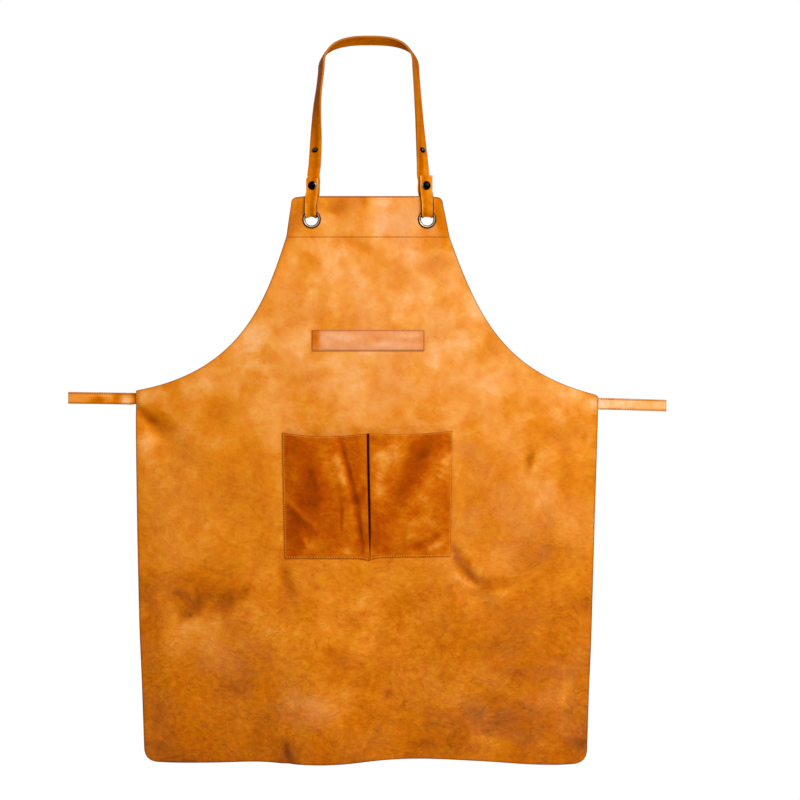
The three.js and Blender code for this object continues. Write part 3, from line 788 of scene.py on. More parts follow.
# How much each pattern lightens or darkens the leather.
MOTTLE_WEIGHT = 0.4
BLOTCH_WEIGHT = 0.24
STREAK_WEIGHT = 0.4
WRINKLE_WEIGHT = 0.07
WRINKLE_LINE = 0.016
# Two ways that streaks run: turn in degrees, mottling where they hide and where they show, and shade.
STREAK_WAYS = ((62, 0.42, 0.58, -1), (-24, 0.58, 0.42, 0.8))
HUE_DRIFT = (0.486, 0.513)
GLOSS_SPREAD = 0.08
BLUSH_COLOUR = "eaa064"
PORE_COLOUR = "7a3a08"
DARK_EDGE_AND_SHADE_COLOUR = "642a02"
WAX_COLOUR = "ffa850"
# Dark brown of handled cut edges, also used as painted shadow beside the strap's tabs.
HANDLED_AND_SHADOW_COLOUR = "4e1e02"


def colour(hex_code):
    """Linear colour of an sRGB hex value."""
    values = [int(hex_code[k:k + 2], 16) / 255 for k in (0, 2, 4)]
    linear = [v / 12.92 if v <= 0.04045 else ((v + 0.055) / 1.055) ** 2.4 for v in values]
    return (*linear, 1)


def add(tree, kind, sockets, **settings):
    """Adds a node. Each socket takes a plain value, or another node's output to link."""
    node = tree.nodes.new(kind)
    for name, value in settings.items():
        setattr(node, name, value)
    for socket, value in sockets.items():
        if isinstance(value, bpy.types.NodeSocket):
            tree.links.new(value, node.inputs[socket])
        else:
            node.inputs[socket].default_value = value
    return node


def new_material(name):
    """A material, its node tree, its shader and the place on the piece that its patterns read."""
    material = bpy.data.materials.new(name)
    material.use_nodes = True
    tree = material.node_tree
    place = add(tree, "ShaderNodeTexCoord", {}).outputs["Object"]
    return material, tree, tree.nodes["Principled BSDF"], place


def per_metre(size):
    """A pattern's scale for features of that size in millimetres."""
    return 1 / (size * MM)


def waxed_leather(name, tones, level, clouds, roughness, specular):
    """Vegetable-tanned cowhide, waxed so that it pulls up paler where it is bent or rubbed.

    The eye gets large pale and dark clouds, finer mottling, streaks where it is worn, dark pores and
    burnished edges, with a soft gloss that is broken by the grain.
    """
    material, tree, skin, place = new_material(name)
    cloud = add(tree, "ShaderNodeTexNoise", {
        "Vector": place, "Scale": per_metre(CLOUD_SIZE), "Detail": 2, "Distortion": 0.3})
    mottle = add(tree, "ShaderNodeTexNoise", {
        "Vector": place, "Scale": per_metre(MOTTLE_SIZE), "Detail": 5, "Roughness": 0.5, "Distortion": 0.2})
    blotch = add(tree, "ShaderNodeTexNoise", {
        "Vector": place, "Scale": per_metre(BLOTCH_SIZE), "Detail": 4, "Roughness": 0.55, "Distortion": 0.2})
    # Fine streaks run along the hide in two main directions, each in its own places.
    wander = add(tree, "ShaderNodeVectorMath", {
        0: cloud.outputs["Color"], 1: (STREAK_WANDER * MM,) * 3}, operation="MULTIPLY")
    bent_place = add(tree, "ShaderNodeVectorMath", {
        0: place, 1: wander.outputs["Vector"]}, operation="ADD")
    nothing = add(tree, "ShaderNodeValue", {})
    nothing.outputs[0].default_value = 0
    streaks = wrinkles = nothing
    for turn, hidden, shown, shade in STREAK_WAYS:
        turned_place = add(tree, "ShaderNodeMapping", {
            "Vector": bent_place.outputs["Vector"], "Rotation": (0, math.radians(turn), 0),
            "Scale": (1, 1, 1.5)})
        fibres = add(tree, "ShaderNodeTexNoise", {
            "Vector": turned_place.outputs["Vector"], "Scale": per_metre(FIBRE_SIZE),
            "Detail": 3, "Roughness": 0.65})
        centred = add(tree, "ShaderNodeMath", {0: fibres.outputs["Fac"], 1: 0.5}, operation="SUBTRACT")
        here = add(tree, "ShaderNodeMapRange", {
            "Value": mottle.outputs["Fac"], "From Min": hidden, "From Max": shown, "To Min": 0.2})
        streaks = add(tree, "ShaderNodeMath", {
            0: centred.outputs[0], 1: here.outputs["Result"], 2: streaks.outputs[0]},
            operation="MULTIPLY_ADD")
        # A wrinkle is a thin line that wanders where the hide gives way, dark if sunk and pale if raised.
        yielding = add(tree, "ShaderNodeTexNoise", {
            "Vector": turned_place.outputs["Vector"], "Scale": per_metre(WRINKLE_SIZE),
            "Detail": 4, "Roughness": 0.5})
        aside = add(tree, "ShaderNodeMath", {0: yielding.outputs["Fac"], 1: 0.5}, operation="SUBTRACT")
        away = add(tree, "ShaderNodeMath", {0: aside.outputs[0]}, operation="ABSOLUTE")
        line = add(tree, "ShaderNodeMapRange", {
            "Value": away.outputs[0], "From Min": 0, "From Max": WRINKLE_LINE, "To Min": shade, "To Max": 0})
        wrinkles = add(tree, "ShaderNodeMath", {
            0: line.outputs["Result"], 1: here.outputs["Result"], 2: wrinkles.outputs[0]},
            operation="MULTIPLY_ADD")
    # Worn hide shows more of them, and more of the mottling.
    wear = add(tree, "ShaderNodeAttribute", {}, attribute_name="worn")
    worn_streaks = add(tree, "ShaderNodeMath", {
        0: streaks.outputs[0], 1: wear.outputs["Fac"]}, operation="MULTIPLY")
    worn_wrinkles = add(tree, "ShaderNodeMath", {
        0: wrinkles.outputs[0], 1: wear.outputs["Fac"]}, operation="MULTIPLY")
    mottling = add(tree, "ShaderNodeMapRange", {
        "Value": wear.outputs["Fac"], "From Min": 0.3, "From Max": 1, "To Min": 0.52, "To Max": 1})

    # The tone holds the stains and the painted light and shade.
    stain = add(tree, "ShaderNodeAttribute", {}, attribute_name="tone")
    # A stain takes unevenly, and so does the painted light and shade, so their edges are ragged.
    take = add(tree, "ShaderNodeMapRange", {
        "Value": mottle.outputs["Fac"], "From Min": 0.35, "From Max": 0.65, "To Min": 0.45, "To Max": 1.45})
    tone = add(tree, "ShaderNodeMath", {
        0: stain.outputs["Fac"], 1: take.outputs["Result"], 2: level}, operation="MULTIPLY_ADD")
    for pattern, weight in ((cloud, clouds), (mottle, MOTTLE_WEIGHT), (blotch, BLOTCH_WEIGHT)):
        share = add(tree, "ShaderNodeMath", {0: mottling.outputs["Result"], 1: weight}, operation="MULTIPLY")
        centred = add(tree, "ShaderNodeMath", {0: pattern.outputs["Fac"], 1: 0.5}, operation="SUBTRACT")
        tone = add(tree, "ShaderNodeMath", {
            0: centred.outputs[0], 1: share.outputs[0], 2: tone.outputs[0]}, operation="MULTIPLY_ADD")
    for pattern, weight in ((worn_streaks, STREAK_WEIGHT), (worn_wrinkles, WRINKLE_WEIGHT)):
        tone = add(tree, "ShaderNodeMath", {
            0: pattern.outputs[0], 1: weight, 2: tone.outputs[0]}, operation="MULTIPLY_ADD")
    ramp = add(tree, "ShaderNodeValToRGB", {"Fac": tone.outputs[0]})
    stops = ramp.color_ramp.elements
    for spare in list(stops)[1:]:
        stops.remove(spare)
    for k, hex_code in enumerate(tones):
        stop = stops[0] if k == 0 else stops.new(k / (len(tones) - 1))
        stop.position = k / (len(tones) - 1)
        stop.color = colour(hex_code)

    # The dye runs from ochre to russet in places.
    dye_drift = add(tree, "ShaderNodeTexNoise", {
        "Vector": place, "Scale": per_metre(DRIFT_SIZE), "Detail": 5, "Roughness": 0.68})
    hue = add(tree, "ShaderNodeMapRange", {
        "Value": dye_drift.outputs["Fac"], "To Min": HUE_DRIFT[0], "To Max": HUE_DRIFT[1]})
    drifted = add(tree, "ShaderNodeHueSaturation", {
        "Color": ramp.outputs["Color"], "Hue": hue.outputs["Result"]})
    # Where the dye took less, the hide is pinker.
    pale_dye = add(tree, "ShaderNodeAttribute", {}, attribute_name="blush")
    dye_cloud = add(tree, "ShaderNodeTexNoise", {
        "Vector": bent_place.outputs["Vector"], "Scale": per_metre(DYE_SIZE), "Detail": 6, "Roughness": 0.62})
    dye_spread = add(tree, "ShaderNodeMapRange", {
        "Value": dye_cloud.outputs["Fac"], "From Min": 0.43, "From Max": 0.6, "To Min": 0.2, "To Max": 1})
    dye = add(tree, "ShaderNodeMath", {
        0: pale_dye.outputs["Fac"], 1: dye_spread.outputs["Result"]}, operation="MULTIPLY")
    dyed = add(tree, "ShaderNodeMix", {
        "Factor": dye.outputs[0], 6: drifted.outputs["Color"], 7: colour(BLUSH_COLOUR)}, data_type="RGBA")

    # Pores gather in some places as dark specks of a millimetre or two.
    pore = add(tree, "ShaderNodeTexNoise", {"Vector": place, "Scale": per_metre(PORE_SIZE), "Detail": 2})
    pore_mask = add(tree, "ShaderNodeMapRange", {
        "Value": mottle.outputs["Fac"], "From Min": 0.6, "From Max": 0.4, "To Min": 0, "To Max": 0.3})
    pore_dots = add(tree, "ShaderNodeMapRange", {
        "Value": pore.outputs["Fac"], "From Min": 0.62, "From Max": 0.74})
    pores = add(tree, "ShaderNodeMath", {
        0: pore_dots.outputs["Result"], 1: pore_mask.outputs["Result"]}, operation="MULTIPLY")
    with_pores = add(tree, "ShaderNodeMix", {
        "Factor": pores.outputs[0], 6: dyed.outputs[2], 7: colour(PORE_COLOUR)}, data_type="RGBA")
    # Dark burnished edges and seams, and on the pocket the painted shade in its slit and round its left
    # compartment.
    edge = add(tree, "ShaderNodeAttribute", {}, attribute_name="dark_edge_and_shade")
    with_edges = add(tree, "ShaderNodeMix", {
        "Factor": edge.outputs["Fac"], 6: with_pores.outputs[2], 7: colour(DARK_EDGE_AND_SHADE_COLOUR)},
        data_type="RGBA")
    tree.links.new(with_edges.outputs[2], skin.inputs["Base Color"])

    gloss = add(tree, "ShaderNodeMapRange", {
        "Value": mottle.outputs["Fac"], "From Min": 0.3, "From Max": 0.7,
        "To Min": roughness + GLOSS_SPREAD, "To Max": roughness - GLOSS_SPREAD})
    tree.links.new(gloss.outputs["Result"], skin.inputs["Roughness"])
    # The wax is amber, and so is its gloss.
    skin.inputs["Specular IOR Level"].default_value = specular
    skin.inputs["Specular Tint"].default_value = colour(WAX_COLOUR)
    # Leather grain is about a millimetre; it is drawn larger so that it shows in the render.
    grain = add(tree, "ShaderNodeTexVoronoi", {
        "Vector": place, "Scale": per_metre(GRAIN_SIZE)}, feature="SMOOTH_F1")
    below = {}
    for pattern, strength, depth in (
            (grain, 0.35, 0.25), (worn_streaks, 0.7, 1.6), (blotch, 0.7, 1.6), (worn_wrinkles, 0.6, 0.7)):
        bump = add(tree, "ShaderNodeBump", {
            "Height": pattern.outputs[0], "Strength": strength, "Distance": depth * MM, **below})
        below = {"Normal": bump.outputs["Normal"]}
    tree.links.new(below["Normal"], skin.inputs["Normal"])
    return material


def fibrous_leather(name, dark, pale, fibre, roughness):
    """Cut or split leather, bare of its grain layer: matte fibres give a soft, streaky, chalky face."""
    material, tree, skin, place = new_material(name)
    nap = add(tree, "ShaderNodeTexNoise", {
        "Vector": place, "Scale": per_metre(fibre), "Detail": 6, "Roughness": 0.7})
    patch = add(tree, "ShaderNodeTexNoise", {"Vector": place, "Scale": per_metre(SPLIT_SIZE), "Detail": 4})
    both = add(tree, "ShaderNodeMix", {
        "Factor": 0.5, "A": nap.outputs["Fac"], "B": patch.outputs["Fac"]})
    spread = add(tree, "ShaderNodeMapRange", {
        "Value": both.outputs["Result"], "From Min": 0.36, "From Max": 0.64})
    shade = add(tree, "ShaderNodeMix", {
        "Factor": spread.outputs["Result"], 6: colour(dark), 7: colour(pale)}, data_type="RGBA")
    # Dark where the edges are handled, which also paints the shadow beside the strap's tabs.
    handled_and_shadow = add(tree, "ShaderNodeAttribute", {}, attribute_name="burnish_and_shadow")
    burnished = add(tree, "ShaderNodeMix", {
        "Factor": handled_and_shadow.outputs["Fac"], 6: shade.outputs[2], 7: colour(HANDLED_AND_SHADOW_COLOUR)},
        data_type="RGBA")
    tree.links.new(burnished.outputs[2], skin.inputs["Base Color"])
    bump = add(tree, "ShaderNodeBump", {
        "Height": nap.outputs["Fac"], "Strength": 0.5, "Distance": 0.4 * MM})
    tree.links.new(bump.outputs["Normal"], skin.inputs["Normal"])
    skin.inputs["Roughness"].default_value = roughness
    skin.inputs["Specular IOR Level"].default_value = 0.01
    return material


def waxed_thread(name, dark, pale):
    """Waxed linen thread: twisted plies give a fine light and dark slant and a low sheen."""
    material, tree, skin, place = new_material(name)
    ply = add(tree, "ShaderNodeTexNoise", {"Vector": place, "Scale": per_metre(PLY_SIZE), "Detail": 2})
    spread = add(tree, "ShaderNodeMapRange", {
        "Value": ply.outputs["Fac"], "From Min": 0.35, "From Max": 0.65})
    shade = add(tree, "ShaderNodeMix", {
        "Factor": spread.outputs["Result"], 6: colour(dark), 7: colour(pale)}, data_type="RGBA")
    tree.links.new(shade.outputs[2], skin.inputs["Base Color"])
    skin.inputs["Roughness"].default_value = 0.6
    skin.inputs["Specular IOR Level"].default_value = 0.01
    return material


def antique_brass(name, dark, rubbed, roughness):
    """Pressed brass, blackened and then rubbed: dark hollows, bright worn ridges, fine handling marks and
    painted highlights.
    """
    material, tree, skin, place = new_material(name)
    marks = add(tree, "ShaderNodeTexNoise", {
        "Vector": place, "Scale": per_metre(MARK_SIZE), "Detail": 5, "Roughness": 0.65})
    # The rubbed attribute holds worn brass on the eyelets and painted highlights on the snaps and studs.
    wear = add(tree, "ShaderNodeAttribute", {}, attribute_name="rubbed")
    patina = add(tree, "ShaderNodeMath", {
        0: marks.outputs["Fac"], 1: 0.35, 2: wear.outputs["Fac"]}, operation="MULTIPLY_ADD")
    worn = add(tree, "ShaderNodeMapRange", {
        "Value": patina.outputs[0], "From Min": 0.2, "From Max": 1.1})
    shade = add(tree, "ShaderNodeMix", {
        "Factor": worn.outputs["Result"], 6: colour(dark), 7: colour(rubbed)}, data_type="RGBA")
    tree.links.new(shade.outputs[2], skin.inputs["Base Color"])
    skin.inputs["Metallic"].default_value = 1
    dull = add(tree, "ShaderNodeMapRange", {
        "Value": marks.outputs["Fac"], "From Min": 0.3, "From Max": 0.7,
        "To Min": roughness - 0.06, "To Max": roughness + 0.1})
    tree.links.new(dull.outputs["Result"], skin.inputs["Roughness"])
    return material


def matte_paper(name, hex_code):
    """Seamless studio paper: pale, even and without gloss, with a faint tooth."""
    material, tree, skin, place = new_material(name)
    tooth = add(tree, "ShaderNodeTexNoise", {"Vector": place, "Scale": per_metre(TOOTH_SIZE), "Detail": 3})
    bump = add(tree, "ShaderNodeBump", {
        "Height": tooth.outputs["Fac"], "Strength": 0.1, "Distance": 0.2 * MM})
    tree.links.new(bump.outputs["Normal"], skin.inputs["Normal"])
    skin.inputs["Base Color"].default_value = colour(hex_code)
    skin.inputs["Roughness"].default_value = 0.9
    return material


TAN_TONES = ("7a3200", "984700", "b45a00", "cf7000", "e68818", "f4a24a", "fcbe82")
BODY_LEATHER = waxed_leather("waxed_cowhide_tan", TAN_TONES, 0.6, 0.45, 0.48, 0.25)
POCKET_TONES = ("5a1800", "7a2a00", "9a3d00", "b85000", "d47008", "ea9436", "f8b878")
POCKET_SKIN = waxed_leather("waxed_cowhide_dark_tan", POCKET_TONES, 0.56, 0.3, 0.42, 0.16)
STRAP_SKIN = waxed_leather("waxed_strap_leather", TAN_TONES, 0.5, 0.2, 0.5, 0.01)
TIE_TONES = ("7a3200", "984700", "b45a00", "d87200", "f48c1c", "ffa440", "ffd0a0")
TIE_SKIN = waxed_leather("waxed_tie_leather", TIE_TONES, 0.82, 0.2, 0.5, 0.01)
PATCH_TONES = ("9c4a10", "d06a10", "e0802a", "e8965c", "f0aa76", "f8c096", "fdd4b4")
PATCH_SKIN = waxed_leather("smooth_patch_leather", PATCH_TONES, 0.52, 0.1, 0.34, 0.4)
FLESH_SIDE = fibrous_leather("cowhide_flesh_side", "b07a46", "d8ac78", 2.5, 0.95)
BURNISHED_EDGE = fibrous_leather("burnished_cut_edge", "4a2006", "7a3c10", 0.8, 0.6)
RAW_EDGE = fibrous_leather("raw_cut_edge", "a85a10", "cc8030", 0.9, 0.85)
BROWN_THREAD = waxed_thread("waxed_linen_thread_brown", "682200", "9a4206")
RUSSET_THREAD = waxed_thread("waxed_linen_thread_russet", "8a3c04", "b45c10")
HONEY_THREAD = waxed_thread("waxed_linen_thread_honey", "b05c0a", "d08226")
TAN_THREAD = waxed_thread("waxed_linen_thread_tan", "d28c3c", "f2b26a")
PALE_THREAD = waxed_thread("waxed_linen_thread_pale", "f09222", "ffba56")
EYELET_BRASS = antique_brass("antique_brass_rubbed", "3c2416", "d2c0a4", 0.34)
SNAP_BRASS = antique_brass("blackened_brass", "0c0a08", "d8ccb4", 0.26)


# Making pieces

def deselect():
    """Leaves nothing selected for the next operator."""
    bpy.ops.object.select_all(action="DESELECT")


def finish_with(piece, kind, **settings):
    """Adds a modifier and applies it."""
    modifier = piece.modifiers.new(kind.title(), kind)
    for name, value in settings.items():
        setattr(modifier, name, value)
    bpy.context.view_layer.objects.active = piece
    bpy.ops.object.modifier_apply(modifier=modifier.name)


def paint(piece, name, values):
    """Keeps one number for each point of a piece, for its material to read."""
    layer = piece.data.attributes.new(name, "FLOAT", "POINT")
    layer.data.foreach_set("value", np.asarray(values, np.float32).ravel())


def stand_for(piece, node):
    """The piece takes a node's place on the object."""
    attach(piece, "root")
    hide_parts(node)


def leather_wall(name, points, skins, paints, thickness, rounding, doubled=None, cutters=()):
    """A wall of leather behind a grid of points on its grain face, in rows upwards and columns to +X.

    skins are the grain face, the cut edge and the hidden face. A doubled grid is 1 where the wall is twice
    as thick as elsewhere. The cutters are round posts: middle, axis and radius.
    """
    rows, columns = points.shape[:2]
    deselect()
    bpy.ops.mesh.primitive_grid_add(x_subdivisions=columns - 1, y_subdivisions=rows - 1, size=1)
    piece = bpy.context.object
    piece.name = name
    flat = np.zeros(len(piece.data.vertices) * 3, np.float32)
    piece.data.vertices.foreach_get("co", flat)
    flat = flat.reshape(-1, 3)
    column = np.rint((flat[:, 0] + 0.5) * (columns - 1)).astype(int)
    row = np.rint((flat[:, 1] + 0.5) * (rows - 1)).astype(int)
    piece.data.vertices.foreach_set("co", placed(points[row, column]).astype(np.float32).ravel())
    for layer, values in paints.items():
        paint(piece, layer, values[row, column])
    for skin in skins:
        piece.data.materials.append(skin)
    walls = {"thickness": thickness * MM, "offset": -1, "use_even_offset": True, "use_quality_normals": True,
             "material_offset_rim": 1, "material_offset": 2}
    if doubled is not None:
        group = piece.vertex_groups.new(name="doubled")
        twice = np.flatnonzero(doubled[row, column] > 0.5)
        group.add(twice.tolist(), 1, "REPLACE")
        walls.update(thickness=2 * thickness * MM, vertex_group="doubled", thickness_vertex_group=0.5)
    finish_with(piece, "SOLIDIFY", **walls)
    for middle, axis, radius in cutters:
        drill(piece, middle, axis, radius)
    finish_with(piece, "BEVEL", width=rounding * MM, segments=2, limit_method="ANGLE",
                angle_limit=math.radians(BEVEL_ANGLE), use_clamp_overlap=True)
    deselect()
    piece.select_set(True)
    bpy.ops.object.mode_set(mode="EDIT")
    bpy.ops.mesh.select_all(action="SELECT")
    bpy.ops.mesh.remove_doubles(threshold=BEVEL_MERGE * MM)
    bpy.ops.mesh.dissolve_degenerate(threshold=BEVEL_MERGE * MM)
    bpy.ops.object.mode_set(mode="OBJECT")
    bpy.ops.object.shade_smooth_by_angle(angle=math.radians(SMOOTH_ANGLE))
    return piece


def drill(piece, middle, axis, radius):
    """Cuts a round hole through a piece."""
    deselect()
    bpy.ops.mesh.primitive_cylinder_add(vertices=ROUND_SIDES, radius=radius * MM, depth=DRILL_DEPTH * MM)
    cutter = bpy.context.object
    cutter.matrix_world = seat(middle, axis)
    finish_with(piece, "BOOLEAN", object=cutter, operation="DIFFERENCE", solver="EXACT")
    bpy.data.objects.remove(cutter)


def seat(middle, axis, across=(1, 0, 0)):
    """Where a round piece sits: its own Z runs along the axis."""
    outward = Vector(axis).normalized()
    side = Vector(across).normalized()
    turn = Matrix((side, outward.cross(side), outward)).transposed()
    return Matrix.Translation(Vector(placed(middle))) @ turn.to_4x4()


def turned(name, profile, place, skin, closed):
    """A round piece: a circle is extruded and resized from ring to ring along a profile of radius and height.

    A closed profile comes back to its first ring; otherwise both ends are capped.
    """
    radius, height = profile[0]
    deselect()
    fill = "NOTHING" if closed else "NGON"
    bpy.ops.mesh.primitive_circle_add(vertices=ROUND_SIDES, radius=radius * MM, fill_type=fill)
    piece = bpy.context.object
    piece.name = name
    bpy.ops.object.mode_set(mode="EDIT")
    bpy.ops.mesh.select_mode(type="EDGE")
    bpy.ops.mesh.select_all(action="SELECT")
    bpy.ops.transform.translate(value=(0, 0, height * MM))
    for next_radius, next_height in profile[1:]:
        lift = (0, 0, (next_height - height) * MM)
        bpy.ops.mesh.extrude_edges_move(TRANSFORM_OT_translate={"value": lift})
        share = next_radius / radius
        bpy.ops.transform.resize(value=(share, share, 1), center_override=(0, 0, next_height * MM))
        radius, height = next_radius, next_height
    if not closed:
        bpy.ops.mesh.edge_face_add()
    bpy.ops.mesh.select_all(action="SELECT")
    bpy.ops.mesh.remove_doubles(threshold=MERGE * MM)
    bpy.ops.mesh.normals_make_consistent(inside=False)
    bpy.ops.object.mode_set(mode="OBJECT")
    piece.data.materials.append(skin)
    piece.matrix_world = place
    bpy.ops.object.transform_apply(location=True, rotation=True, scale=True)
    bpy.ops.object.shade_smooth_by_angle(angle=math.radians(ROUND_SMOOTH_ANGLE))
    return piece


def stitch_shape():
    """One stitch along its own Z: a short, round thread of a few faces. Gives its points and faces."""
    deselect()
    bpy.ops.mesh.primitive_uv_sphere_add(segments=STITCH_SIDES, ring_count=STITCH_RINGS, radius=1)
    shape = bpy.context.object
    bpy.ops.object.mode_set(mode="EDIT")
    bpy.ops.mesh.select_all(action="SELECT")
    bpy.ops.transform.resize(value=(STITCH_THICK / 2, STITCH_THICK / 2, STITCH_LENGTH / 2))
    bpy.ops.object.mode_set(mode="OBJECT")
    points = np.array([vertex.co for vertex in shape.data.vertices])
    faces = [list(face.vertices) for face in shape.data.polygons]
    bpy.data.objects.remove(shape)
    return points, faces


STITCH_POINTS, STITCH_FACES = stitch_shape()


def sew(name, routes, thread):
    """Stitches along seams. Each route is points on the leather and the directions out of it."""
    points = []
    faces = []
    for line, outward in routes:
        reach = reach_of(line)
        count = max(1, round(reach[-1] / STITCH_PITCH))
        for k in range(count):
            at = reach[-1] * ((k + np.array(STITCH_SPAN)) / count)
            before, middle, after = (
                np.array([np.interp(a, reach, column) for column in line.T]) for a in at)
            up = unit(np.array([np.interp(at[1], reach, column) for column in outward.T]))
            ahead = unit(after - before)
            side = unit(np.cross(up, ahead))
            basis = np.stack([side, np.cross(ahead, side), ahead])
            faces += [[corner + len(points) for corner in face] for face in STITCH_FACES]
            points += list(middle + up * STITCH_LIFT + STITCH_POINTS @ basis)
    mesh = bpy.data.meshes.new(name)
    mesh.from_pydata(placed(points).tolist(), [], faces)
    mesh.materials.append(thread)
    piece = bpy.data.objects.new(name, mesh)
    bpy.context.scene.collection.objects.link(piece)
    deselect()
    piece.select_set(True)
    bpy.context.view_layer.objects.active = piece
    bpy.ops.object.shade_smooth()
    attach(piece, "root")


def body_routes(corners, closed, distance):
    """A seam on the body along straight lines between corners of x and drop, at a distance off its face."""
    ends = corners[1:] + (corners[:1] if closed else ())
    routes = []
    for start, end in zip(corners, ends):
        steps = max(2, round(math.dist(start, end) / STITCH_PITCH))
        x, drop = np.linspace(start, end, steps + 1).T
        points = off_body(x, drop, distance)
        outward = points - off_body(x, drop, 0)
        routes.append((points, outward))
    return routes


def grid_normals(points):
    """Directions out of a grid's grain face."""
    upward = np.gradient(points, axis=0)
    across = np.gradient(points, axis=1)
    return unit(np.cross(across, upward))


# Body

def side_lines(edge):
    """Half width and drop along each stretch of a side edge, from the bib's top to the hem."""
    t = np.linspace(0, 1, EDGE_POINTS)
    corner_end = (edge.top_half, TOP_CORNER)
    hem_line = (edge.armhole_half, TOP_HEM)
    waist = (edge.waist_half, edge.waist_drop)
    side_end = (edge.hem_half, BODY_HEIGHT - HEM_CORNER)
    top_corner = bezier([(edge.top_half - TOP_CORNER, 0), (edge.top_half, 0), corner_end], t)
    bow = bezier([waist, side_end], [SIDE_BOW_SHARE])[0] + (edge.side_bow, 0)
    armhole = bezier([hem_line, edge.armhole_pull, edge.waist_pull, waist], t)
    armhole, side = rounded(armhole, bezier([waist, bow, side_end], t), edge.waist_round)
    return {
        "top hem": np.concatenate([top_corner, bezier([corner_end, hem_line], t)[1:]]),
        "armhole": armhole,
        "side": side,
        "corner": bezier([
            side_end, (edge.hem_half, BODY_HEIGHT), (edge.hem_half - HEM_CORNER, BODY_HEIGHT)], t),
    }


def body_grid():
    """x, drop and distance from the nearest edge over the body, in rows upwards."""
    seam_above = HEM_SEAM_DROP - TOP_HEM
    side_height = BODY_HEIGHT - HEM_CORNER - SIDE_START
    stretches = (
        ("top hem", 0, crowded(TOP_HEM, BODY_CELL, EDGE_INSETS, HEM_SEAM_SIDE + (0,))),
        ("armhole", TOP_HEM, crowded(SIDE_START - TOP_HEM, BODY_CELL,
                                     tuple(seam_above + side for side in (0,) + HEM_SEAM_SIDE))),
        ("side", SIDE_START, crowded(side_height, BODY_CELL)[1:]),
        ("corner", BODY_HEIGHT - HEM_CORNER, crowded(HEM_CORNER, BODY_CELL, (0,), EDGE_INSETS)[1:]),
    )
    left, right = side_lines(LEFT_EDGE), side_lines(RIGHT_EDGE)
    edge_reach = max(LEFT_EDGE.top_half, RIGHT_EDGE.top_half)
    inner = np.linspace(-1, 1, BODY_COLUMNS)
    insets = np.array(EDGE_INSETS)
    rows = []
    for name, start, places in stretches:
        shares = places / places[-1]
        left_ends = along_line(left[name], shares)
        right_ends = along_line(right[name], shares)
        for place, left_end, right_end in zip(places, left_ends, right_ends):
            inner_half = np.where(inner < 0, left_end[0], right_end[0]) - insets[-1]
            x = np.concatenate([
                insets[:-1] - left_end[0], inner * inner_half, right_end[0] - insets[:-1][::-1]])
            half = np.where(x < 0, left_end[0], right_end[0])
            edge_drop = np.where(x < 0, left_end[1], right_end[1])
            out = (x / half) ** 2
            drop = (start + place) * (1 - out) + edge_drop * out
            inset = np.minimum(half - np.abs(x), np.minimum(BODY_HEIGHT - drop, drop))
            near_hem = smoothstep(drop, HEM_WAVE_START, BODY_HEIGHT)
            near_corner = smoothstep(np.abs(x), TOP_DROOP_FROM, edge_reach) * (
                1 - smoothstep(drop, 0, TOP_DROOP_DEPTH))
            drop = drop + near_hem * smooth_through(HEM_WAVE_X, HEM_WAVE, x) + near_corner * TOP_DROOP
            rows.append((x, drop, inset))
    x, drop, inset = (np.array(values)[::-1] for values in zip(*rows))
    return x, drop, inset


def make_body():
    """The hide, with its doubled top hem and the holes for the eyelets."""
    x, drop, inset = body_grid()
    seam = bell(drop - HEM_SEAM_DROP, SEAM_WIDTH)
    points = np.stack([x, body_back(x, drop) + SEAM_GROOVE * seam, -drop], -1)
    edge = BODY_BURNISH.dark * bell(inset, BODY_BURNISH.width)
    # Painted light falling off from the bib down to the hem.
    painted_falloff = smooth_through(PAINTED_FALLOFF_DROP, PAINTED_FALLOFF_TONE, drop)
    # Painted shade along the left edges, which turn away from the light.
    shaded = TURNED_AWAY_SHADE * np.exp(-np.maximum(inset, 0) / TURNED_AWAY_SHADE_WIDTH) * (x < 0)
    paints = {
        # Along the creases: paler ridges, partly painted light, and painted shade in the hollows.
        "tone": mark_tone(BODY_STAINS_AND_PAINTED_LIGHT, x, drop) + fold_pull_up_and_shade(CREASES, x, drop) + painted_falloff + shaded,
        "blush": mark_tone(BODY_BLUSH, x, drop) + WORN_BLUSH * smoothstep(drop, *BLUSH_FROM),
        "worn": np.interp(drop, WORN_DROP, WORN),
        "dark_edge_and_shade": np.maximum(edge, SEAM_DARK * seam),
    }
    holes = [
        ((STRAP_X + side.sign * EYELET_HALF, LEATHER, -EYELET_DROP), (0, -1, 0), EYELET_BARREL + GAP)
        for side in STRAP_SIDES
    ]
    skins = (BODY_LEATHER, BURNISHED_EDGE, FLESH_SIDE)
    doubled = (drop < HEM_SEAM_DROP).astype(float)
    piece = leather_wall("apron_leather", points, skins, paints, LEATHER, BODY_ROUNDING, doubled, holes)
    stand_for(piece, "apron_body")


def sew_bib_hem():
    """The rows of stitches along the folded hem and the top edge."""
    reach = LEFT_EDGE.armhole_half - SEAM_INSET, RIGHT_EDGE.armhole_half - SEAM_INSET
    line = ((-reach[0], HEM_SEAM_DROP), (reach[1], HEM_SEAM_DROP))
    sew("bib_hem_stitches", body_routes(line, False, ON_FACE), HONEY_THREAD)
    top = ((-TOP_SEAM_HALF, TOP_SEAM_DROP), (TOP_SEAM_HALF, TOP_SEAM_DROP))
    sew("bib_top_stitches", body_routes(top, False, ON_FACE), HONEY_THREAD)
    behind = ((-reach[0], HEM_SEAM_DROP - SEAM_INSET), (reach[1], HEM_SEAM_DROP - SEAM_INSET))
    sew("bib_hem_stitches_behind", body_routes(behind, False, -2 * LEATHER), BROWN_THREAD)


# Neck strap

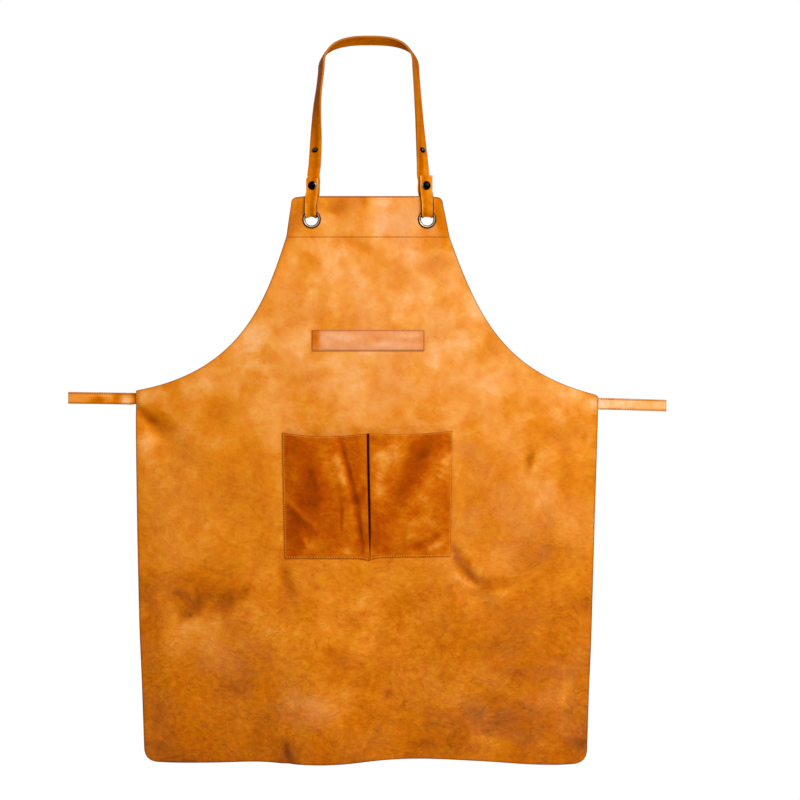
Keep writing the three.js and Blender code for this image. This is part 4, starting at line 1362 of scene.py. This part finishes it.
def strap_side(side):
    """Centre line on one side from the folded end to the arch's middle: place, inner edge, curl and width."""
    inward = np.array((-side.sign, 0, 0))
    pair = STRAP_THICK / 2 + GAP / 2
    turn = EYELET_DEPTH + GAP + STRAP_THICK / 2
    turn_drop = EYELET_DROP - (EYELET_HOLE + EYELET_FLANGE) / 2
    tight = 1 / (EYELET_HOLE - GAP - STRAP_THICK / 2)
    over_edge = LEATHER + GAP * 2 + STRAP_THICK / 2
    stations = []

    def lay(half, back, rise, curl=0.0, edge=inward, centre=STRAP_X, bunched=0.0):
        place = (centre + side.sign * half, LEATHER + back, rise)
        stations.append((place, edge, curl * tight, 1 - bunched))

    lay(side.tab_half, -pair - TAB_END_LIFT, side.tab_rise)
    lay(side.tab_half, -pair, side.tab_rise - TAB_END_LENGTH)
    lay(side.tab_half, -pair, SNAP_RISE)
    lay(side.tab_half, -pair, SNAP_RISE - SNAP_FLAT)
    lay((side.tab_half + side.fold_half) / 2, -over_edge, 0, side.front_curl * EDGE_CURL_SHARE)
    lay(side.fold_half, FLANGE_EASE - turn, -turn_drop * FLANGE_SHARE, side.front_curl)
    for angle in np.linspace(0, math.pi, TURN_STEPS + 1):
        in_hole = float(smoothstep(angle / math.pi, *CURLING))
        out_behind = float(smoothstep(angle / math.pi, *OPENING))
        curl = side.front_curl + (HOLE_CURL - side.front_curl) * in_hole
        curl = curl - (HOLE_CURL - CURL_TURN_END) * out_behind
        half = side.fold_half + (EYELET_HALF - side.fold_half) * in_hole
        sag = TURN_SAG * max(math.sin(2 * angle), 0) if angle < math.pi / 2 else 0
        bunched = BUNCHED * math.sin(angle)
        lay(half, -turn * math.cos(angle), -turn_drop - turn * math.sin(angle) - sag, curl, bunched=bunched)
    lay(EYELET_HALF, turn - FLANGE_EASE, -turn_drop * FLANGE_SHARE, CURL_AT_FLANGE)
    lay((EYELET_HALF + side.snap_run_half) / 2, over_edge, 0, CURL_OVER_EDGE)
    lay(side.snap_run_half, pair, SNAP_RISE - SNAP_FLAT)
    lay(side.snap_run_half, pair, SNAP_RISE)
    lay((side.snap_run_half + RUN_START_HALF) / 2, pair, SNAP_RISE + SNAP_FLAT)

    def climb(half, along, twist, lean):
        nearer = np.array((0, -math.cos(lean), math.sin(lean)))
        edge = inward * math.cos(twist) + nearer * math.sin(twist)
        centre = RUN_START_X + (ARCH_X - RUN_START_X) * along / (RUN_LENGTH + ARCH_HEIGHT)
        back = pair + along * math.sin(RUN_LEAN)
        lay(half, back, RUN_START_RISE + along * math.cos(RUN_LEAN), 0.0, edge, centre)

    for share in np.arange(RUN_STEPS) / RUN_STEPS:
        bow = side.run_bow * math.sin(math.pi * share ** BOW_POWER) ** 2
        half = RUN_START_HALF + (RUN_END_HALF - RUN_START_HALF) * share + bow
        twist = np.interp(RUN_LENGTH * share, TWIST_ALONG, side.twist)
        climb(half, RUN_LENGTH * share, math.radians(twist), RUN_LEAN)
    for share in np.arange(ARCH_STEPS + 1) / ARCH_STEPS:
        angle = share * math.pi / 2
        flat = max(math.cos(angle), 0) ** (2 / side.arch_power) if share < 1 else 0
        high = math.sin(angle) ** (2 / side.arch_power)
        twist = side.twist[-1] + (90 - side.twist[-1]) * share ** ARCH_TWIST_POWER
        lean = RUN_LEAN + (ARCH_LEAN - RUN_LEAN) * share
        climb(RUN_END_HALF * flat, RUN_LENGTH + ARCH_HEIGHT * high, math.radians(twist), lean)
    return stations


def strap_frame(places, edges):
    """The strap's own directions at each station: across its width, and out of its face."""
    ahead = unit(np.concatenate([
        places[1:2] - places[:1], places[2:] - places[:-2], places[-1:] - places[-2:-1]]))
    width = unit(edges - ahead * np.sum(edges * ahead, axis=1, keepdims=True))
    return width, np.cross(width, ahead)


def strap_stations():
    """Places, inner edges, curls and widths along the whole strap, from its left end to its right end."""
    left, right = (strap_side(side) for side in STRAP_SIDES)
    stations = left + right[-2::-1]
    return [np.array(values, float) for values in zip(*stations)]


def make_strap(places, edges, curls, widths, holes):
    """The neck strap, with a smooth surface through its stations and holes for the posts."""
    reach = reach_of(places)
    at = np.linspace(0, reach[-1], round(reach[-1] / STRAP_CELL))
    fine_places = smooth_through(reach, places, at)
    fine_edges = unit(np.stack([np.interp(at, reach, column) for column in edges.T], 1))
    curl = np.interp(at, reach, curls)[:, None]
    width, face = (vectors[:, None, :] for vectors in strap_frame(fine_places, fine_edges))
    aside = STRAP_WIDTH / 2 * np.array(STRAP_ACROSS)[None, :] * np.interp(at, reach, widths)[:, None]
    bent = np.maximum(curl, FLAT_CURL)
    across = (np.sin(bent * aside) / bent)[..., None]
    sink = ((1 - np.cos(bent * aside)) / bent)[..., None]
    tilt = (bent * aside)[..., None]
    outward = face * np.cos(tilt) + width * np.sin(tilt)
    crown = STRAP_CROWN * (1 - np.array(STRAP_ACROSS) ** 2)[None, :, None]
    lift = STRAP_THICK / 2 - STRAP_CROWN / 2 + crown
    points = fine_places[:, None, :] + width * across - face * sink + outward * lift
    along = (at - reach[-1] / 2)[:, None] * np.ones_like(aside)
    # Painted shade in the hollow down the strap's lower part; each side's hollow gives where it lies across.
    hollow_at = np.where(along < 0, STRAP_SIDES[0].hollow, STRAP_SIDES[1].hollow)
    hollow = bell(np.array(STRAP_ACROSS) - hollow_at, HOLLOW_SHADE_WIDTH)
    # Painted light along the rims of the curled ends.
    rim = bell(1 - np.abs(STRAP_ACROSS), RIM_LIGHT_WIDTH)
    clouds = hide_noise(along, STRAP_CLOUD_STRETCH * aside, STRAP_CLOUD_SIZE, STRAP_LAYER)
    paints = {
        "tone": smooth_through(STRAP_RUN, STRAP_TONE, along)
                + HOLLOW_PAINTED_SHADE * hollow * smoothstep(np.abs(along), *HOLLOW_SHADE_FROM)
                + RIM_PAINTED_LIGHT * rim * smoothstep(np.abs(along), *RIM_LIGHT_FROM)
                + STRAP_CLOUD * clouds,
        # Handled edges, darkened also as painted shadow beside the tabs.
        "burnish_and_shadow": smoothstep(np.abs(along), *HANDLED_AND_SHADOW_FROM),
        "worn": np.full_like(aside, STRAP_WORN),
    }
    skins = (STRAP_SKIN, RAW_EDGE, STRAP_SKIN)
    piece = leather_wall(
        "neck_strap_leather", points, skins, paints, STRAP_THICK, STRAP_ROUNDING, cutters=holes)
    stand_for(piece, "neck_strap")


# Fittings

def eyelet_profile():
    """Radius and height round a rolled eyelet: front roll, hole, back roll, barrel."""
    lip = LEATHER + GAP
    middle = (EYELET_HOLE + EYELET_FLANGE) / 2
    half = (EYELET_FLANGE - EYELET_HOLE) / 2
    roll = []
    for angle in np.linspace(0, math.pi, ROLL_STEPS + 1):
        base = lip if angle < math.pi / 2 else EYELET_NECK
        roll.append((middle + half * math.cos(angle), base + (EYELET_DEPTH - base) * math.sin(angle)))
    front = [(EYELET_BARREL, lip), *roll]
    back = [(radius, -height) for radius, height in reversed(front)]
    return [*front, *back, front[0]]


def fastener_profile(cap, half):
    """Radius and height down one snap: dome, rim, post and the flange behind the leather."""
    rim = half + GAP
    dome = [
        (cap.radius * math.sin(angle), rim + cap.dome * math.cos(angle) ** DOME_POWER)
        for angle in np.linspace(DOME_FROM, DOME_TO, DOME_STEPS)
    ]
    return [
        *dome,
        (cap.radius, rim + CAP_RIM * cap.dome),
        (cap.radius * CAP_FOOT, rim),
        (POST_RADIUS, rim),
        (POST_RADIUS, -rim),
        (cap.back, -rim),
        (cap.back, -rim - BACK_STEP * cap.back_height),
        (cap.back * BACK_TAPER, -rim - cap.back_height),
        (cap.back * BACK_MIDDLE, -rim - cap.back_height),
    ]


def rub_and_highlight(piece, place, ring, inward=0):
    """Marks where a round fitting is bright along a ring, or only on its side towards the middle: rubbed
    brass on the eyelets, a painted highlight on the snaps and studs.
    """
    points = np.array([place.inverted() @ vertex.co for vertex in piece.data.vertices]) / MM
    away = np.hypot(points[:, 0], points[:, 1]) - ring.radius
    share = smoothstep(inward * points[:, 0] / ring.radius, *HIGHLIGHT_SIDE) if inward else 1
    paint(piece, "rubbed", ring.strength * share * bell(away, ring.width))


def make_fittings(places, edges):
    """Eyelets, snaps and studs, and the holes that their posts need in the strap."""
    width, face = strap_frame(places, edges)
    holes = []
    for side in STRAP_SIDES:
        eyelet_seat = seat((STRAP_X + side.sign * EYELET_HALF, LEATHER, -EYELET_DROP), (0, -1, 0))
        eyelet = turned(f"eyelet_ring_{side.name}", eyelet_profile(), eyelet_seat, EYELET_BRASS, True)
        rub_and_highlight(eyelet, eyelet_seat, EYELET_RUBBED)
        stand_for(eyelet, f"eyelet_{side.name}")

        snap_place = (STRAP_X + side.sign * SNAP_HALF, LEATHER, SNAP_RISE)
        snap_seat = seat(snap_place, (0, -1, 0))
        profile = fastener_profile(SNAP_CAP, STRAP_THICK + GAP / 2)
        snap = turned(f"snap_cap_{side.name}", profile, snap_seat, SNAP_BRASS, False)
        # Painted highlight: a crescent on the snap's side towards the middle.
        rub_and_highlight(snap, snap_seat, SNAP_PAINTED_HIGHLIGHT, -side.sign)
        stand_for(snap, f"snap_{side.name}")
        holes.append((snap_place, (0, -1, 0), POST_RADIUS + GAP))

        rise = RUN_START_RISE + RUN_LENGTH * STUD_STEP / RUN_STEPS * math.cos(RUN_LEAN)
        beside = np.sign(places[:, 0] - STRAP_X) == side.sign
        k = np.argmin(np.where(beside, np.abs(places[:, 2] - rise), np.inf))
        stud_seat = seat(places[k], face[k], width[k])
        profile = fastener_profile(STUD_CAP, STRAP_THICK / 2)
        stud = turned(f"stud_cap_{side.name}", profile, stud_seat, SNAP_BRASS, False)
        # Painted highlight: a small pale spot on the stud.
        rub_and_highlight(stud, stud_seat, STUD_PAINTED_HIGHLIGHT)
        stand_for(stud, f"stud_{side.name}")
        holes.append((places[k], face[k], POST_RADIUS + GAP))
    return holes


# Ties

def make_tie(tie):
    """One tie, its two rows of stitches and the box that sews it to the body."""
    total = TIE_OVERLAP + TIE_LENGTH
    along = crowded(total, TIE_CELL, TIE_INSETS, TIE_INSETS)
    across = crowded(TIE_WIDTH, TIE_CELL, TIE_INSETS, TIE_INSETS)
    reach, height = np.meshgrid(along, across)
    share = reach / total
    if tie.sign < 0:
        reach, share = reach[:, ::-1], share[:, ::-1]
    middle = tie.root_drop + (tie.end_drop - tie.root_drop) * share
    x = tie.sign * (tie.edge.waist_half + reach - TIE_OVERLAP)
    drop = middle + TIE_WIDTH / 2 - height
    free = smoothstep(reach, TIE_OVERLAP, TIE_OVERLAP + TIE_EASE)
    wave = TIE_WAVE * free * np.sin(reach / TIE_WAVE_LENGTH + tie.sign)
    points = off_body(x, drop, -LEATHER - GAP)
    points[..., 1] += wave + TIE_WAVE * free
    inset = np.minimum(np.minimum(height, TIE_WIDTH - height), np.minimum(reach, total - reach))
    long_inset = np.minimum(height, TIE_WIDTH - height)
    seam = bell(long_inset - SEAM_INSET, SEAM_WIDTH)
    edge = TIE_BURNISH.dark * bell(inset, TIE_BURNISH.width)
    paints = {
        "tone": mark_tone(TIE_STAINS_AND_HIGHLIGHTS, x, drop) + TIE_SIDE_TONE * tie.sign,
        "worn": np.full_like(x, TIE_WORN),
        "dark_edge_and_shade": np.maximum(edge, SEAM_DARK * seam),
    }
    skins = (TIE_SKIN, RAW_EDGE, TIE_SKIN)
    piece = leather_wall(f"tie_leather_{tie.name}", points, skins, paints, TIE_THICK, TIE_ROUNDING)
    stand_for(piece, f"tie_{tie.name}")

    outward = grid_normals(points)
    shown = reach[0] > TIE_OVERLAP + SEAM_INSET
    routes = []
    for seam_place in (SEAM_INSET, TIE_WIDTH - SEAM_INSET):
        row = np.argmin(np.abs(across - seam_place))
        routes.append((points[row][shown], outward[row][shown]))
        behind = points[row] - outward[row] * TIE_THICK
        routes.append((behind[shown], -outward[row][shown]))
    sew(f"tie_stitches_{tie.name}", routes, RUSSET_THREAD)

    near = tie.sign * (tie.edge.waist_half - TIE_BOX_INSET)
    far = tie.sign * (tie.edge.waist_half - TIE_BOX_INSET - TIE_BOX)
    high = tie.root_drop - TIE_BOX_HALF
    low = tie.root_drop + TIE_BOX_HALF
    box = ((near, high), (far, high), (far, low), (near, low))
    sew(f"tie_root_stitches_{tie.name}", body_routes(box, True, ON_FACE), TAN_THREAD)


# Bib patch

def make_patch():
    """The patch on the bib, slightly crowned inside its seam."""
    across = crowded(PATCH_WIDTH, PATCH_CELL)
    down = crowded(PATCH_HEIGHT, PATCH_CELL)
    right, low = np.meshgrid(across, down[::-1])
    x = PATCH_X - PATCH_WIDTH / 2 + right
    drop = PATCH_DROP - PATCH_HEIGHT / 2 + low
    inset = np.minimum(np.minimum(right, PATCH_WIDTH - right), np.minimum(low, PATCH_HEIGHT - low))
    seam = bell(inset - PATCH_INSET, SEAM_WIDTH)
    crown = PATCH_CROWN * smoothstep(inset, PATCH_INSET, PATCH_HEIGHT / 3)
    inside = smoothstep(inset, PATCH_INSET, 3 * PATCH_INSET)
    uneven = PATCH_UNEVEN * inside * hide_noise(x, drop, PATCH_UNEVEN_SIZE, PATCH_LAYER)
    distance = GAP + PATCH_THICK + crown + uneven - SHALLOW_GROOVE * seam
    points = off_body(x, drop, distance)
    paints = {
        "tone": mark_tone(PATCH_STAINS, x, drop),
        "worn": np.full_like(x, PATCH_WORN),
        "dark_edge_and_shade": PATCH_BURNISH.dark * bell(inset, PATCH_BURNISH.width),
    }
    skins = (PATCH_SKIN, RAW_EDGE, FLESH_SIDE)
    piece = leather_wall("bib_patch_leather", points, skins, paints, PATCH_THICK, PATCH_ROUNDING)
    stand_for(piece, "bib_patch")

    half_width = PATCH_WIDTH / 2 - PATCH_INSET
    half_height = PATCH_HEIGHT / 2 - PATCH_INSET
    box = tuple(
        (PATCH_X + sx * half_width, PATCH_DROP + sy * half_height)
        for sx, sy in ((-1, -1), (1, -1), (1, 1), (-1, 1))
    )
    sew("patch_stitches", body_routes(box, True, GAP + PATCH_THICK), BROWN_THREAD)
    sew("patch_stitches_behind", body_routes(box, True, -LEATHER), BROWN_THREAD)


# Pocket

def pocket_columns(width):
    """Across one compartment, from its sewn edge to the pleat: share of the width, level and painted shade
    towards the slit.
    """
    flat_end = PLEAT_SLIT + PLEAT_ROUND
    panel = crowded(width - flat_end, POCKET_CELL, POCKET_INSETS)
    level = smooth_through(POCKET_ACROSS, POCKET_LEVEL, np.minimum(panel / width, POCKET_ACROSS[-1]))
    columns = [(place / width, height, 0.0) for place, height in zip(panel, level)]
    round_level = PLEAT_ROUND / POCKET_STANDOFF
    for angle in np.linspace(0, math.pi / 2, PLEAT_STEPS)[1:]:
        from_middle = flat_end - PLEAT_ROUND * math.sin(angle)
        height = level[-1] - round_level * (1 - math.cos(angle))
        columns.append((1 - from_middle / width, height, PLEAT_PAINTED_SHADE * math.sin(angle) ** PLEAT_SHADE_POWER))
    for k, height in enumerate(PLEAT_WALL):
        columns.append((1 - PLEAT_SLIT * (1 - PLEAT_TAPER * k) / width, height * level[-1], 1.0))
    return columns


def make_pocket():
    """The pocket panel with its pleat and folds, and its stitches in front and behind."""
    left_width = PLEAT_FOOT_X - POCKET_BOTTOM_LEFT[0]
    right_width = POCKET_BOTTOM_RIGHT[0] - PLEAT_FOOT_X
    left = [("left", *column) for column in pocket_columns(left_width)]
    right = [("right", *column) for column in pocket_columns(right_width)]
    columns = [*left, ("left", 1, 0, 1.0), *right[::-1]]
    is_left = np.array([column[0] == "left" for column in columns])[None, :]
    # slit is the painted shade towards and in the pleat's slit; it also keeps folds off the slit's walls.
    across, level, slit = (np.array([column[k] for column in columns])[None, :] for k in (1, 2, 3))
    height = POCKET_BOTTOM_LEFT[1] - POCKET_TOP_LEFT[1]
    rises = crowded(height, POCKET_CELL, POCKET_INSETS, POCKET_INSETS)[:, None]
    up = rises / height
    bottom_x = np.where(is_left, POCKET_BOTTOM_LEFT[0], POCKET_BOTTOM_RIGHT[0])
    top_x = np.where(is_left, POCKET_TOP_LEFT[0], POCKET_TOP_RIGHT[0])
    sewn = bottom_x + (top_x - bottom_x) * up
    pleat_x = PLEAT_FOOT_X + (PLEAT_MOUTH_X - PLEAT_FOOT_X) * up
    x = sewn + (pleat_x - sewn) * across
    # The slit closes towards its foot.
    from_pleat = np.abs(x - pleat_x)
    narrow = PLEAT_FOOT_SHARE + (1 - PLEAT_FOOT_SHARE) * smoothstep(up, *SLIT_CLOSES)
    x = pleat_x + (x - pleat_x) * (narrow + (1 - narrow) * smoothstep(from_pleat, 0, 3 * PLEAT_ROUND))
    share = (x - POCKET_BOTTOM_LEFT[0]) / (POCKET_BOTTOM_RIGHT[0] - POCKET_BOTTOM_LEFT[0])
    foot = POCKET_BOTTOM_LEFT[1] + (POCKET_BOTTOM_RIGHT[1] - POCKET_BOTTOM_LEFT[1]) * share
    foot = foot + FOOT_BUMP * bell(x - PLEAT_FOOT_X, FOOT_BUMP_WIDTH)
    foot = foot + np.where(is_left, LEFT_FOOT_SAG * across, 0)
    mouth = POCKET_TOP_LEFT[1] + (POCKET_TOP_RIGHT[1] - POCKET_TOP_LEFT[1]) * share
    hang = np.where(is_left, MOUTH_SAG["left"], MOUTH_SAG["right"]) * np.sin(math.pi * across)
    drop = foot + (mouth + hang + PLEAT_SAG * across - foot) * up
    opened = 1 - (1 - up) ** MOUTH_POWER
    bulge = level * opened
    sewn_down = POCKET_LEATHER + GAP
    distance = sewn_down + (POCKET_STANDOFF - sewn_down) * bulge
    loose = smoothstep(bulge, *LOOSE_FROM) * (1 - slit)
    for fold in POCKET_FOLDS:
        distance = distance + loose * fold_height(fold, x, drop)
    distance = distance + POCKET_UNEVEN * loose * hide_noise(x, drop, POCKET_UNEVEN_SIZE, POCKET_LAYER)
    side_inset = across * np.where(is_left, left_width, right_width)
    end_inset = np.minimum(rises, height - rises)
    side_seam = bell(side_inset - NARROW_INSET, SEAM_WIDTH)
    end_seam = bell(end_inset - NARROW_INSET, SEAM_WIDTH)
    seam = np.maximum(side_seam, end_seam)
    # Burnished edges; painted shadow makes the left compartment's edges darker.
    edge_dark_and_shadow = np.where(is_left, POCKET_EDGE_DARK_AND_SHADOW["left"], POCKET_EDGE_DARK_AND_SHADOW["right"])
    edge = edge_dark_and_shadow * bell(np.minimum(side_inset, end_inset), POCKET_EDGE_WIDTH)
    points = off_body(x, drop, distance - SHALLOW_GROOVE * seam)
    paints = {
        # Along the pocket's folds: paler ridges, partly painted light, and painted shade in the hollows.
        "tone": mark_tone(POCKET_STAINS_AND_PAINTED_LIGHT, x, drop) + fold_pull_up_and_shade(POCKET_FOLDS, x, drop),
        "worn": np.full_like(x, POCKET_WORN),
        # Painted shade in the pleat's slit, above its foot.
        "dark_edge_and_shade": np.maximum(edge, slit * smoothstep(rises, *SLIT_SHADE_FOOT)),
    }
    skins = (POCKET_SKIN, RAW_EDGE, FLESH_SIDE)
    piece = leather_wall("pocket_leather_panel", points, skins, paints, POCKET_LEATHER, POCKET_ROUNDING)
    stand_for(piece, "pocket")

    outward = grid_normals(points)
    foot_row = np.argmin(np.abs(rises[:, 0] - NARROW_INSET))
    mouth_row = np.argmin(np.abs(rises[:, 0] - height + NARROW_INSET))
    seam_column = np.argmin(np.abs(side_inset[0, :len(left)] - NARROW_INSET))
    far_column = len(columns) - 1 - seam_column
    fold_left = len(left) - PLEAT_STEPS - len(PLEAT_WALL) + 1
    fold_right = len(columns) - 1 - fold_left
    sewn_rows = slice(foot_row, mouth_row + 1)
    cuts = (
        (sewn_rows, seam_column),
        (sewn_rows, far_column),
        (foot_row, slice(seam_column, fold_left)),
        (foot_row, slice(fold_right, far_column + 1)),
        (mouth_row, slice(seam_column, fold_left)),
        (mouth_row, slice(fold_right, far_column + 1)),
    )
    sew("pocket_stitches", [(points[cut], outward[cut]) for cut in cuts], PALE_THREAD)
    behind = []
    for cut in cuts[:4]:
        line = points[cut]
        through = off_body(line[:, 0], -line[:, 2], -LEATHER)
        behind.append((through, off_body(line[:, 0], -line[:, 2], -2 * LEATHER) - through))
    sew("pocket_stitches_behind", behind, BROWN_THREAD)


# Stage

def aim(thing, place, target):
    """Puts a light or camera in place, looking at a target, in metres."""
    thing.location = place
    thing.rotation_euler = (Vector(target) - Vector(place)).to_track_quat("-Z", "Y").to_euler()


def softbox(box, target):
    """One square soft light, aimed at a target."""
    deselect()
    bpy.ops.object.light_add(type="AREA")
    light = bpy.context.object
    light.name = box.name
    light.data.size = box.size
    light.data.energy = box.power
    light.data.color = colour(box.tint)[:3]
    aim(light, box.place, target)


def make_stage():
    """A white studio: pale paper floor below the apron, an even white surround and four soft boxes."""
    deselect()
    bpy.ops.mesh.primitive_circle_add(
        vertices=FLOOR_SIDES, radius=FLOOR_RADIUS, fill_type="NGON",
        location=(0, 0, cad_box[0].z - FLOOR_BELOW))
    floor = bpy.context.object
    floor.name = "paper_floor"
    floor.data.materials.append(matte_paper("pale_studio_paper", "f4f3f0"))

    chest = (0, BIB.y, BIB.z - WAIST_DROP * MM)
    for box in SOFT_BOXES:
        softbox(box, chest)

    world = bpy.data.worlds.new("white_surround")
    bpy.context.scene.world = world
    world.use_nodes = True
    tree = world.node_tree
    surround = tree.nodes["Background"]
    surround.inputs["Color"].default_value = colour("ffffff")
    # The surround looks pure white but lights the apron less, so that the soft boxes model its folds.
    seen = add(tree, "ShaderNodeLightPath", {})
    strength = add(tree, "ShaderNodeMapRange", {
        "Value": seen.outputs["Is Camera Ray"], "To Min": SURROUND_LIGHT, "To Max": SURROUND_SEEN})
    tree.links.new(strength.outputs["Result"], surround.inputs["Strength"])


def make_camera():
    """A level camera with the photo's frame."""
    middle = FRAME_PIXELS / 2
    aside = (middle - BIB_TOP_MIDDLE_PIXEL[0]) * PIXEL
    drop = (middle - BIB_TOP_MIDDLE_PIXEL[1]) * PIXEL
    target = Vector(placed((aside, 0, -drop)))
    place = Vector(placed((aside, -CAMERA_DISTANCE, -drop)))
    bpy.ops.object.camera_add()
    camera = bpy.context.object
    camera.data.sensor_width = SENSOR_WIDTH
    camera.data.lens = SENSOR_WIDTH * CAMERA_DISTANCE / (FRAME_PIXELS * PIXEL)
    aim(camera, place, target)
    bpy.context.scene.camera = camera
    bpy.context.scene.view_settings.view_transform = "Standard"


make_camera()
make_body()
sew_bib_hem()
strap_places, strap_edges, strap_curls, strap_widths = strap_stations()
post_holes = make_fittings(strap_places, strap_edges)
make_strap(strap_places, strap_edges, strap_curls, strap_widths, post_holes)
for each_tie in TIES:
    make_tie(each_tie)
make_patch()
make_pocket()
make_stage()
